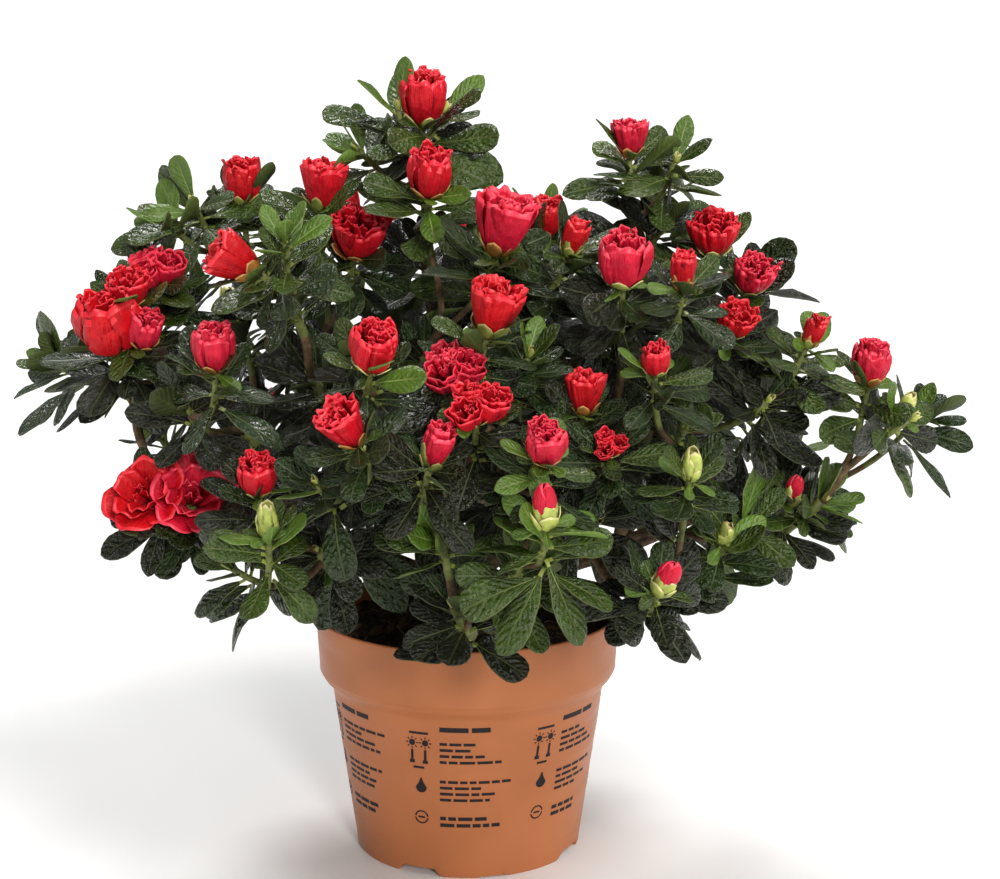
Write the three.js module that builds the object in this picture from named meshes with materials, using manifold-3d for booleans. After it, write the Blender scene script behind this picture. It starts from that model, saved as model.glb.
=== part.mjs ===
// A potted florist's azalea: a short trunk forking into fourteen boughs, a full crown of foliage
// masses, the potting soil and the plastic pot that it all stands in.
// Millimetres, +Z up. The origin is on the pot's axis, at the level that its feet stand on.
// +X is the plant's right and -Y its front.

import * as THREE from 'three';
import { mergeVertices } from 'three/addons/utils/BufferGeometryUtils.js';
import Module from 'manifold-3d';

const wasm = await Module();
wasm.setup();

// ---------------------------------------------------------------- driving dimensions

const GAP = 0.3; // clearance between neighbouring solids

const POT = {
  height: 111.5,
  rimRadius: 70,
  collarHeight: 27, // depth of the near-upright collar under the rim
  collarTaper: 1.3, // how much the collar narrows over that depth
  shoulderDrop: 8, // height of the rounded step from collar to body
  shoulderRadius: 62.8,
  baseRadius: 52,
  wall: 1.6,
  lip: 0.8, // rounding of the rim and of the base corner
  sides: 32,
};

const FOOT = {
  height: 4, // the floor's clearance
  width: 4, // of the standing ring
  repeats: 4, // of the two notches round the ring
};

// The standing ring's notches: bearing of the first, degrees of ring taken, depth, and how far
// each end leans.
const DEEP_NOTCH = { bearing: 245, angle: 24, depth: 3.8, slant: 3.2 };
const SHALLOW_NOTCH = { bearing: 283, angle: 18, depth: 0.8, slant: 0.8 };

const DRAIN = { holes: 6, radius: 4.5, reach: 30, sides: 8 };

const SOIL = { level: 102, mound: 1.6, clearing: 18, sides: 16 };

const TRUNK = {
  height: 34,
  baseRadius: 6.2,
  forkRadius: 6.8,
  flare: 5.5, // extra radius of the root flare at the soil
  buttresses: 4,
  lean: [-3, -2], // sideways travel of the tip
  sides: 12,
  rings: 6,
};

const BOUGH = { baseRadius: 3.4, tipRadius: 1.9, sides: 6, rings: 5 };

// The point in the crown that every mass of foliage faces away from.
const HEART = new THREE.Vector3(0, 0, 180);

const UNEVEN = { depth: 0.09, taper: 0.16, waves: 4, around: 10, along: 7 };

// Each mass: bearing in degrees from +X towards +Y, reach from the pot's axis to its middle,
// height of its middle, and its half sizes: long (away from the heart), wide (level, across)
// and deep (square to both).
const MASSES = {
  top: { bearing: 172, reach: 25, height: 324, long: 43, wide: 42, deep: 40 },
  top_front: { bearing: 252, reach: 47, height: 292, long: 34, wide: 38, deep: 34 },
  high_middle: { bearing: 4, reach: 32, height: 264, long: 34, wide: 34, deep: 32 },
  left_high_back: { bearing: 169, reach: 112, height: 279, long: 43, wide: 42, deep: 34 },
  left_high: { bearing: 200, reach: 66, height: 287, long: 35, wide: 34, deep: 32 },
  left_high_front: { bearing: 229, reach: 112, height: 266, long: 36, wide: 38, deep: 34 },
  left_mid: { bearing: 183, reach: 135, height: 244, long: 43, wide: 40, deep: 30 },
  left_out: { bearing: 168, reach: 180, height: 220, long: 46, wide: 38, deep: 26 },
  left_mid_front: { bearing: 219, reach: 136, height: 225, long: 40, wide: 38, deep: 32 },
  left_low: { bearing: 203, reach: 134, height: 172, long: 41, wide: 38, deep: 28 },
  left_low_back: { bearing: 164, reach: 138, height: 180, long: 40, wide: 40, deep: 30 },
  left_low_front: { bearing: 232, reach: 139, height: 166, long: 42, wide: 42, deep: 34 },
  front_high: { bearing: 288, reach: 63, height: 276, long: 34, wide: 34, deep: 34 },
  front_mid_left: { bearing: 253, reach: 120, height: 246, long: 36, wide: 34, deep: 34 },
  front_mid: { bearing: 278, reach: 117, height: 247, long: 36, wide: 36, deep: 34 },
  front_low_left: { bearing: 252, reach: 150, height: 204, long: 34, wide: 36, deep: 34 },
  front_low: { bearing: 276, reach: 151, height: 205, long: 34, wide: 36, deep: 34 },
  front_foot: { bearing: 272, reach: 133, height: 160, long: 38, wide: 46, deep: 28 },
  front_right_low: { bearing: 299, reach: 146, height: 166, long: 40, wide: 40, deep: 38 },
  front_right: { bearing: 304, reach: 140, height: 222, long: 38, wide: 38, deep: 32 },
  right_front_high: { bearing: 313, reach: 103, height: 262, long: 36, wide: 36, deep: 36 },
  right_high: { bearing: 8, reach: 81, height: 303, long: 38, wide: 40, deep: 37 },
  right_high_out: { bearing: 350, reach: 117, height: 264, long: 38, wide: 38, deep: 34 },
  right_mid_front: { bearing: 328, reach: 142, height: 226, long: 38, wide: 36, deep: 32 },
  right_out: { bearing: 348, reach: 182, height: 212, long: 45, wide: 38, deep: 32 },
  right_mid_back: { bearing: 20, reach: 146, height: 228, long: 40, wide: 42, deep: 32 },
  right_low: { bearing: 346, reach: 142, height: 172, long: 42, wide: 38, deep: 28 },
  right_low_front: { bearing: 325, reach: 141, height: 166, long: 38, wide: 34, deep: 32 },
  right_low_back: { bearing: 18, reach: 142, height: 175, long: 40, wide: 40, deep: 30 },
  back_high_left: { bearing: 125, reach: 84, height: 280, long: 36, wide: 42, deep: 34 },
  back_high_right: { bearing: 66, reach: 80, height: 276, long: 36, wide: 42, deep: 34 },
  back_mid_left: { bearing: 137, reach: 138, height: 236, long: 42, wide: 44, deep: 36 },
  back_mid: { bearing: 98, reach: 134, height: 240, long: 42, wide: 44, deep: 36 },
  back_mid_right: { bearing: 58, reach: 134, height: 238, long: 42, wide: 44, deep: 36 },
  back_low_left: { bearing: 125, reach: 141, height: 176, long: 42, wide: 44, deep: 32 },
  back_low: { bearing: 88, reach: 143, height: 176, long: 44, wide: 44, deep: 34 },
  back_low_right: { bearing: 50, reach: 144, height: 172, long: 42, wide: 42, deep: 32 },
};

// Each bough: the mass that it grows into, how far up the trunk it leaves, and its bow, upwards
// where positive.
const BOUGHS = {
  top: { into: 'top', leaves: 0.95, bow: 0 },
  left_high: { into: 'left_high_back', leaves: 0.9, bow: -12 },
  right_high: { into: 'right_high', leaves: 0.86, bow: -14 },
  back_high: { into: 'back_high_left', leaves: 0.8, bow: -10 },
  front_left: { into: 'front_mid_left', leaves: 0.84, bow: -8 },
  front_right: { into: 'front_right', leaves: 0.66, bow: -4 },
  left_out: { into: 'left_out', leaves: 0.62, bow: -14 },
  right_out: { into: 'right_out', leaves: 0.56, bow: -14 },
  back_left: { into: 'back_mid_left', leaves: 0.6, bow: -6 },
  back_right: { into: 'back_mid_right', leaves: 0.6, bow: -6 },
  left_low: { into: 'left_low', leaves: 0.34, bow: 6 },
  front_low: { into: 'front_foot', leaves: 0.42, bow: 6 },
  right_low: { into: 'right_low', leaves: 0.32, bow: 6 },
  back_low: { into: 'back_low', leaves: 0.36, bow: 6 },
};

// ---------------------------------------------------------------- finishes

const FINISH = {
  pot: new THREE.MeshStandardMaterial({ color: 0xbd7a50, roughness: 0.5, metalness: 0 }),
  soil: new THREE.MeshStandardMaterial({ color: 0x2e2118, roughness: 0.95, metalness: 0 }),
  bark: new THREE.MeshStandardMaterial({ color: 0x6b5236, roughness: 0.85, metalness: 0 }),
  foliage: new THREE.MeshStandardMaterial({ color: 0x26381f, roughness: 0.7, metalness: 0 }),
};

// ---------------------------------------------------------------- solids and geometries

/** The solid that a closed geometry bounds. */
function solidOf(geometry) {
  const bare = geometry.clone();
  bare.deleteAttribute('normal');
  bare.deleteAttribute('uv');
  const merged = mergeVertices(bare, 1e-4);
  return new wasm.Manifold(new wasm.Mesh({
    numProp: 3,
    vertProperties: new Float32Array(merged.attributes.position.array),
    triVerts: new Uint32Array(merged.index.array),
  }));
}

/** The indexed geometry of a solid's surface. */
function geometryOf(solid) {
  const { vertProperties, triVerts } = solid.getMesh();
  const geometry = new THREE.BufferGeometry();
  geometry.setAttribute('position', new THREE.BufferAttribute(vertProperties, 3));
  geometry.setIndex(new THREE.BufferAttribute(triVerts, 1));
  geometry.computeVertexNormals();
  return geometry;
}

/** The biggest of a solid's separate pieces. */
function biggest(solid) {
  return solid.decompose().reduce((a, b) => (b.volume() > a.volume() ? b : a));
}

/** A lathe about +Z, from a profile of [radius, height] pairs that runs up the outside. */
function turned(profile, sides) {
  const points = profile.map(([radius, height]) => new THREE.Vector2(radius, height));
  return new THREE.LatheGeometry(points, sides).rotateX(Math.PI / 2);
}

/** The point at a bearing in degrees, a reach from the axis and a height. */
function at(bearing, reach, height) {
  const angle = THREE.MathUtils.degToRad(bearing);
  return new THREE.Vector3(reach * Math.cos(angle), reach * Math.sin(angle), height);
}

/** A repeatable sequence of numbers from 0 to 1. */
function sequence(seed) {
  let state = seed * 7919 + 101;
  return () => {
    state = (state * 16807) % 2147483647;
    return state / 2147483647;
  };
}

// ---------------------------------------------------------------- pot and soil

/** The pot's outer profile, from the base corner up to the lip. */
function potOutside() {
  const { height, rimRadius, collarHeight, collarTaper, shoulderDrop, shoulderRadius, lip } = POT;
  const collarFoot = height - collarHeight;
  const collarRadius = rimRadius - collarTaper;
  return [
    [POT.baseRadius - lip, 0],
    [POT.baseRadius, lip],
    [shoulderRadius, collarFoot - shoulderDrop],
    [THREE.MathUtils.lerp(shoulderRadius, collarRadius, 0.5), collarFoot - shoulderDrop / 2],
    [collarRadius - lip, collarFoot],
    [collarRadius, collarFoot + 2 * lip],
    [rimRadius, height - lip],
    [rimRadius - lip, height],
  ];
}

/** The pot's inner profile, from the lip down to the floor's corner. */
function potInside(inset = 0) {
  const { height, rimRadius, collarHeight, collarTaper, shoulderDrop, shoulderRadius, wall } = POT;
  const collarFoot = height - collarHeight;
  const back = wall + inset;
  return [
    [rimRadius - back, height],
    [rimRadius - collarTaper - back, collarFoot + wall],
    [shoulderRadius - back, collarFoot - shoulderDrop + wall],
    [POT.baseRadius - back, FOOT.height + wall + inset],
  ];
}

/** One notch's cutter: a wedge with leaning ends that crosses the standing ring. */
function notch({ angle, depth: rise, slant }, bearing) {
  const half = POT.baseRadius * Math.sin(THREE.MathUtils.degToRad(angle / 2));
  const below = 1;
  const outline = new THREE.Shape([
    new THREE.Vector2(-half, -below),
    new THREE.Vector2(half, -below),
    new THREE.Vector2(half - slant, rise),
    new THREE.Vector2(slant - half, rise),
  ]);
  const depth = 3 * FOOT.width;
  const wedge = new THREE.ExtrudeGeometry(outline, { depth, bevelEnabled: false });
  wedge.translate(0, 0, -depth / 2).rotateX(Math.PI / 2).rotateZ(Math.PI / 2);
  wedge.translate(POT.baseRadius - FOOT.width / 2, 0, 0);
  return solidOf(wedge.rotateZ(THREE.MathUtils.degToRad(bearing)));
}

/** One drain hole's cutter, through the pot's floor. */
function drain(bearing) {
  const length = 4 * POT.wall;
  const plug = new THREE.CylinderGeometry(DRAIN.radius, DRAIN.radius, length, DRAIN.sides);
  const middle = at(bearing, DRAIN.reach, FOOT.height + POT.wall / 2);
  return solidOf(plug.rotateX(Math.PI / 2).translate(middle.x, middle.y, middle.z));
}

/** The pot: a thin tapered wall with a collar, a raised floor with drains, and notched feet. */
function pot() {
  const ring = POT.baseRadius - FOOT.width;
  let body = solidOf(turned([
    [0, FOOT.height],
    [ring, FOOT.height],
    [ring, 0],
    ...potOutside(),
    ...potInside(),
    [0, FOOT.height + POT.wall],
  ], POT.sides));
  [DEEP_NOTCH, SHALLOW_NOTCH].forEach((cut) => {
    for (let i = 0; i < FOOT.repeats; i += 1) {
      body = body.subtract(notch(cut, cut.bearing + (i * 360) / FOOT.repeats));
    }
  });
  for (let i = 0; i < DRAIN.holes; i += 1) {
    body = body.subtract(drain((i * 360) / DRAIN.holes));
  }
  return body;
}

/** The soil: it fills the pot to its level, flat round the trunk and a little uneven beyond. */
function soil() {
  const wallSide = potInside(GAP).slice(1).reverse();
  const rim = POT.rimRadius - POT.wall - 2 * GAP;
  const geometry = turned([
    [0, FOOT.height + POT.wall + GAP],
    ...wallSide,
    [rim - POT.collarTaper / 3, SOIL.level],
    ...[0.84, 0.66, 0.46].map((part) => [rim * part, SOIL.level]),
    [SOIL.clearing, SOIL.level],
    [0, SOIL.level],
  ], SOIL.sides);
  const position = geometry.attributes.position;
  for (let i = 0; i < position.count; i += 1) {
    const x = position.getX(i);
    const y = position.getY(i);
    const reach = Math.hypot(x, y);
    if (position.getZ(i) > SOIL.level - 1 && reach > SOIL.clearing + 1 && reach < rim - 3) {
      const swell = Math.sin(x / 9) * Math.cos(y / 11) + Math.sin((x + y) / 14);
      position.setZ(i, SOIL.level + (SOIL.mound / 2) * swell);
    }
  }
  return solidOf(geometry);
}

// ---------------------------------------------------------------- trunk and boughs

/** A round limb along a curve, its radius given by the part travelled and the angle round it. */
function limb(curve, radiusAt, sides, rings) {
  const geometry = new THREE.CylinderGeometry(1, 1, 1, sides, rings);
  const { normals, binormals } = curve.computeFrenetFrames(rings, false);
  const position = geometry.attributes.position;
  const point = new THREE.Vector3();
  for (let i = 0; i < position.count; i += 1) {
    const part = position.getY(i) + 0.5;
    const ring = Math.round(part * rings);
    const [x, z] = [position.getX(i), position.getZ(i)];
    const radius = radiusAt(part, Math.atan2(z, x));
    curve.getPointAt(part, point);
    point.addScaledVector(normals[ring], x * radius).addScaledVector(binormals[ring], -z * radius);
    position.setXYZ(i, point.x, point.y, point.z);
  }
  return solidOf(geometry);
}

/** The trunk's axis, from the soil to the fork. */
function trunkAxis() {
  const [leanX, leanY] = TRUNK.lean;
  const foot = SOIL.level + GAP;
  return new THREE.CubicBezierCurve3(
    new THREE.Vector3(0, 0, foot),
    new THREE.Vector3(0, 0, foot + TRUNK.height * 0.4),
    new THREE.Vector3(leanX * 0.7, leanY * 0.6, foot + TRUNK.height * 0.7),
    new THREE.Vector3(leanX, leanY, foot + TRUNK.height),
  );
}

/** The trunk, with its root flare in buttresses; extra grows it on all sides for a cutter. */
function trunk(extra = 0) {
  const { baseRadius, forkRadius, flare, buttresses } = TRUNK;
  const radiusAt = (part, angle) => {
    const spread = flare * Math.exp(-7 * part) * (1 + 0.25 * Math.cos(buttresses * angle));
    return THREE.MathUtils.lerp(baseRadius, forkRadius, part * part) + spread + extra;
  };
  return limb(trunkAxis(), radiusAt, TRUNK.sides, TRUNK.rings);
}

/** A bough's curve, from the trunk's middle to the middle of the mass that it grows into. */
function boughCurve({ into, leaves, bow }) {
  const start = trunkAxis().getPointAt(leaves);
  const end = middleOf(MASSES[into]);
  const turn = start.clone().lerp(end, 0.5);
  turn.z += 2 * bow;
  return new THREE.QuadraticBezierCurve3(start, turn, end);
}

/** A bough's whole length, before it is cut back from the trunk and the foliage. */
function boughWhole(spec, extra = 0) {
  const { baseRadius, tipRadius, sides, rings } = BOUGH;
  const radiusAt = (part) => THREE.MathUtils.lerp(baseRadius, tipRadius, part) + extra;
  return limb(boughCurve(spec), radiusAt, sides, rings);
}

// ---------------------------------------------------------------- foliage

/** The middle of a mass. */
function middleOf({ bearing, reach, height }) {
  return at(bearing, reach, height);
}

/** A mass's own axes: away from the heart, level across, and square to both. */
function axesOf(spec) {
  const out = middleOf(spec).sub(HEART).normalize();
  const across = new THREE.Vector3(0, 0, 1).cross(out).normalize();
  const square = out.clone().cross(across);
  return [out, across, square];
}

/** An uneven egg, wider at its outer end, made from a ball by slow waves of its own. */
function mass(spec, seed, extra = 0) {
  const next = sequence(seed);
  const waves = Array.from({ length: UNEVEN.waves }, () => ({
    along: new THREE.Vector3(next() - 0.5, next() - 0.5, next() - 0.5).normalize(),
    turns: 3 + 3 * next(),
    start: 2 * Math.PI * next(),
  }));
  const geometry = new THREE.SphereGeometry(1, UNEVEN.around, UNEVEN.along);
  const position = geometry.attributes.position;
  const [out, across, square] = axesOf(spec);
  const middle = middleOf(spec);
  const way = new THREE.Vector3();
  for (let i = 0; i < position.count; i += 1) {
    way.fromBufferAttribute(position, i);
    const swell = waves.reduce((sum, w) => sum + Math.sin(w.turns * way.dot(w.along) + w.start), 0);
    const size = 1 + (UNEVEN.depth * swell) / 2;
    const girth = size * (1 + UNEVEN.taper * way.y);
    const point = middle.clone()
      .addScaledVector(out, way.y * (spec.long * size + extra))
      .addScaledVector(across, way.z * (spec.wide * girth + extra))
      .addScaledVector(square, way.x * (spec.deep * girth + extra));
    position.setXYZ(i, point.x, point.y, point.z);
  }
  return solidOf(geometry);
}

/** How far a mass reaches from its middle in one direction. */
function reachTowards(spec, direction) {
  const [out, across, square] = axesOf(spec);
  return 1 / Math.hypot(
    direction.dot(out) / spec.long,
    direction.dot(across) / spec.wide,
    direction.dot(square) / spec.deep,
  );
}

/** A block that fills the far side of a plane. */
function beyond(point, direction) {
  const side = 400;
  const block = new THREE.BoxGeometry(side, side, side).translate(0, 0, side / 2);
  const turn = new THREE.Quaternion().setFromUnitVectors(new THREE.Vector3(0, 0, 1), direction);
  return solidOf(block.applyQuaternion(turn).translate(point.x, point.y, point.z));
}

/** Parts every two masses that meet along a plane between them, GAP wide. */
function partNeighbours(solids) {
  const names = Object.keys(solids);
  names.forEach((one, index) => {
    names.slice(index + 1).forEach((two) => {
      if (solids[one].intersect(solids[two]).volume() <= 0) return;
      const from = middleOf(MASSES[one]);
      const direction = middleOf(MASSES[two]).sub(from);
      const distance = direction.length();
      direction.normalize();
      const reachOne = reachTowards(MASSES[one], direction);
      const reachTwo = reachTowards(MASSES[two], direction);
      const share = (distance * reachOne) / (reachOne + reachTwo);
      const near = from.clone().addScaledVector(direction, share - GAP / 2);
      const far = from.clone().addScaledVector(direction, share + GAP / 2);
      solids[one] = solids[one].subtract(beyond(near, direction));
      solids[two] = solids[two].subtract(beyond(far, direction.clone().negate()));
    });
  });
}

// ---------------------------------------------------------------- the plant and its pot

const group = new THREE.Group();

function add(name, solid, material) {
  const mesh = new THREE.Mesh(geometryOf(solid), material);
  mesh.name = name;
  group.add(mesh);
}

add('pot', pot(), FINISH.pot);
add('soil', soil(), FINISH.soil);
add('trunk', trunk(), FINISH.bark);

const masses = {};
const cutters = [trunk(GAP)];
Object.entries(MASSES).forEach(([name, spec], index) => {
  masses[name] = mass(spec, index + 1);
  cutters.push(mass(spec, index + 1, GAP));
});
partNeighbours(masses);

Object.entries(BOUGHS).forEach(([name, spec]) => {
  const cut = cutters.reduce((solid, cutter) => solid.subtract(cutter), boughWhole(spec));
  add(`bough_${name}`, biggest(cut), FINISH.bark);
  cutters.push(boughWhole(spec, GAP));
});

Object.entries(masses).forEach(([name, solid]) => {
  add(`foliage_${name}`, solid, FINISH.foliage);
});

export default group;
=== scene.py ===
"""A florist's azalea in flower, in its growing pot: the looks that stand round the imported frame.

Metres, +Z up, the frame's own axes: +X is the plant's right, -Y its front.  The twigs, whorls of
leaves, blooms and buds grow on from the boughs by one seeded branching rule.
"""

import logging
import math
from dataclasses import dataclass, field
from enum import Enum
from typing import Sequence

import bpy
import numpy as np
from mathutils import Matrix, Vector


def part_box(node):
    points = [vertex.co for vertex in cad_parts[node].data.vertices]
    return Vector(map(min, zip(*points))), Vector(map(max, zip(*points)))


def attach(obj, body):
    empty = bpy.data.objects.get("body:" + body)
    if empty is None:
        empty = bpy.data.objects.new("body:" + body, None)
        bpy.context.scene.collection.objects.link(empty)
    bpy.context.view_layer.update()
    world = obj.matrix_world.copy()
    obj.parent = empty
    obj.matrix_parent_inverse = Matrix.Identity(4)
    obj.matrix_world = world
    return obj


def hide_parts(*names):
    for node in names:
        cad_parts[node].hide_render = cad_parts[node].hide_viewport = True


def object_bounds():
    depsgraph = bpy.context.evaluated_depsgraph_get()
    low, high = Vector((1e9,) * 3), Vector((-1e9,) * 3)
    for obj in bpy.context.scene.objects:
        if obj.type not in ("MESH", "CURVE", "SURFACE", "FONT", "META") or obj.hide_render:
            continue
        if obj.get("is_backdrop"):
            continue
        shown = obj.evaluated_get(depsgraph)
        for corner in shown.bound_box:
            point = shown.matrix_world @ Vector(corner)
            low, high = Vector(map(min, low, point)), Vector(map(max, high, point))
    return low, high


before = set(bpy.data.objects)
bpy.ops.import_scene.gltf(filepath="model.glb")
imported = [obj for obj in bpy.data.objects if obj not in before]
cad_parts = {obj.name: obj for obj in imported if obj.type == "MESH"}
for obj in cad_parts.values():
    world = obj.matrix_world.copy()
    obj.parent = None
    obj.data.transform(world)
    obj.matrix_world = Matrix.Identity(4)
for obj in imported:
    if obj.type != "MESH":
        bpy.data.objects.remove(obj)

Array = np.ndarray
Draw = np.random.Generator
Colour = tuple[float, float, float]
Material, Piece, Socket = bpy.types.Material, bpy.types.Object, bpy.types.NodeSocket

MM = 0.001
TURN = 2.0 * math.pi
GOLDEN_ANGLE = math.pi * (3.0 - math.sqrt(5.0))
UP = np.array([0.0, 0.0, 1.0])
LIGHT_SIDE = np.array([0.0, -1.0, 0.0])
HEART = np.array([0.0, 0.0, 0.18])
BODY = "root"

log = logging.getLogger("azalea")


# ---------------------------------------------------------------- arrays


def unit(vectors: Array) -> Array:
    """Vectors divided by their lengths, along the last axis."""
    return vectors / np.maximum(np.linalg.norm(vectors, axis=-1, keepdims=True), 1e-12)


def smooth(value: Array) -> Array:
    """The cubic step 3v^2 - 2v^3 of a value held between 0 and 1."""
    held = np.clip(value, 0.0, 1.0)
    return held * held * (3.0 - 2.0 * held)


def around(count: int) -> Array:
    """So many angles, spread evenly round a turn."""
    return np.linspace(0.0, TURN, count, endpoint=False)


def circle(angles: Array) -> Array:
    """Points of the unit circle, with x and y on the last axis."""
    return np.stack([np.cos(angles), np.sin(angles)], -1)


def square_pair(axes: Array) -> tuple[Array, Array]:
    """Two directions that make a right-handed set with each unit vector."""
    first = unit(np.cross(axes, np.eye(3)[np.argmin(np.abs(axes), axis=-1)]))
    return first, np.cross(axes, first)


def leaning(axis: Array, turn: float, tilt: float = 0.25 * TURN) -> Array:
    """The direction that leans from an axis by the tilt, to the side that the turn picks.

    Args:
        axis: unit vector.
        turn: picks the side, radians.
        tilt: how far it leans, radians.

    Returns:
        A unit vector.
    """
    first, second = square_pair(axis)
    side = first * math.cos(turn) + second * math.sin(turn)
    return axis * math.cos(tilt) + side * math.sin(tilt)


def sweep(paths: Array, radii: Array) -> Array:
    """Carries round sections along paths: centre + radius (normal cos a + binormal sin a).

    The normal is the tangent crossed with the world axis that the path runs least along.

    Args:
        paths: points (k, rings, 3).
        radii: radius at each ring and side, (k, rings, sides).

    Returns:
        Points (k, rings, sides, 3).
    """
    tangents = unit(np.gradient(paths, axis=1))
    average = unit(tangents.mean(axis=1))
    helper = np.eye(3)[np.argmin(np.abs(average), axis=-1)][:, None]
    normals = unit(np.cross(tangents, helper))
    axes = np.stack([normals, np.cross(tangents, normals)], -2)
    return paths[:, :, None] + circle(around(radii.shape[2])) @ axes * radii[..., None]


def bezier(handles: Array, steps: Array) -> Array:
    """Cubic curves by the Bernstein sum.

    Args:
        handles: four points for each curve, (k, 4, 3).
        steps: parts travelled, from 0 to 1, (n,).

    Returns:
        Points (k, n, 3).
    """
    t, left = steps, 1.0 - steps
    weights = np.stack([left**3, 3 * t * left**2, 3 * t * t * left, t**3], 1)
    return np.einsum("nj,kjd->knd", weights, handles)


def ripple(points: Array, scale: float, seed: int, waves: int = 5) -> Array:
    """Slow seeded unevenness: a mean of sines along random directions.

    Args:
        points: places (..., 3).
        scale: wave length in metres.
        seed: picks the directions and phases.
        waves: how many sines are added.

    Returns:
        Values of about -1 to 1, one for each point.
    """
    draw = np.random.default_rng(seed)
    ways = unit(draw.normal(size=(waves, 3))) * draw.uniform(0.7, 1.5, (waves, 1))
    phases = draw.uniform(0.0, TURN, waves)
    return np.sin(points @ ways.T * (TURN / scale) + phases).mean(axis=-1) * 1.6


# ---------------------------------------------------------------- meshes


@dataclass(frozen=True)
class Template:
    """The faces of one shape that is repeated: they are numbered once and shared by every copy.

    Fields: points per copy, face corners, corners per face, finish per face, UV per corner.
    """

    points: int
    corners: Array
    sizes: Array
    slots: Array
    places: Array


def tube_template(rings: int, sides: int, young: int = 0) -> Template:
    """Faces of a closed tube: quads between rings and one flat face at each end.

    Args:
        rings: sections along the tube.
        sides: points round each section.
        young: how many of the last stretches take the second finish.

    Returns:
        The template, with points ordered ring after ring.
    """
    i, j = np.arange(rings - 1)[:, None], np.arange(sides)[None]
    k, first = (j + 1) % sides, np.arange(sides)
    quads = np.stack([i * sides + j, i * sides + k, (i + 1) * sides + k, (i + 1) * sides + j], -1)
    round_part = np.stack([j, j + 1, j + 1, j], -1) / sides + 0.0 * quads
    along_part = np.stack([i, i, i + 1, i + 1], -1) / (rings - 1) + 0.0 * quads
    cap = 0.5 + 0.5 * circle(around(sides))
    stretch = (np.arange(rings - 1) >= rings - 1 - young).astype(int)
    return Template(
        points=rings * sides,
        corners=np.r_[quads.ravel(), first[::-1], first + (rings - 1) * sides],
        sizes=np.r_[np.full((rings - 1) * sides, 4), sides, sides],
        slots=np.r_[np.repeat(stretch, sides), stretch[0], stretch[-1]],
        places=np.concatenate([np.stack([round_part, along_part], -1).reshape(-1, 2), cap[::-1], cap]),
    )


def blade_template(along: Array, across: Array, under: int, upper: Array, lower: Array) -> Template:
    """Faces of a thin closed blade: an upper and an under side that share their rim.

    Each row of points holds the upper side's columns and then the under side's inner columns.
    A blade with as many columns on both sides gets strips over its two ends, any other one face.

    Args:
        along: parts of the length at the rows, 0 to 1.
        across: parts of the half width at the upper columns, -1 to 1.
        under: number of the under side's inner columns.
        upper: finish of the upper faces, (rows - 1, columns - 1).
        lower: finish of the under faces, (rows - 1, under + 1).

    Returns:
        The template.
    """
    rows, columns = len(along), len(across)
    width = columns + under
    i, j = np.arange(rows - 1)[:, None] * width, np.arange(columns - 1)[None]
    ring = np.r_[0, np.arange(columns, width), columns - 1]
    a, b = ring[None, :-1], ring[None, 1:]
    top = np.stack([i + j, i + j + 1, i + width + j + 1, i + width + j], -1)
    below = np.stack([i + a, i + width + a, i + width + b, i + b], -1)
    ends, end_slots = [np.r_[np.arange(columns), ring[-2:0:-1]]], upper[-1][:1]
    if under == columns - 2:
        strips = ([n, n + 1, ring[n + 1], ring[n]] for n in range(columns - 1))
        ends, end_slots = [np.array(list(dict.fromkeys(face))) for face in strips], upper[-1]
    faces = [face[::-1] for face in ends] + [face + (rows - 1) * width for face in ends]
    part = np.r_[(across + 1.0) / 2.0, np.linspace(0.0, 1.0, under + 2)[1:-1]]
    table = np.stack(np.broadcast_arrays(part[None], along[:, None]), -1).reshape(-1, 2)
    corners = np.concatenate([top.ravel(), below.ravel(), *faces])
    return Template(
        points=rows * width,
        corners=corners,
        sizes=np.r_[np.full(upper.size + lower.size, 4), [len(face) for face in faces]],
        slots=np.r_[upper.ravel(), lower.ravel(), end_slots, end_slots],
        places=table[corners],
    )


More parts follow.
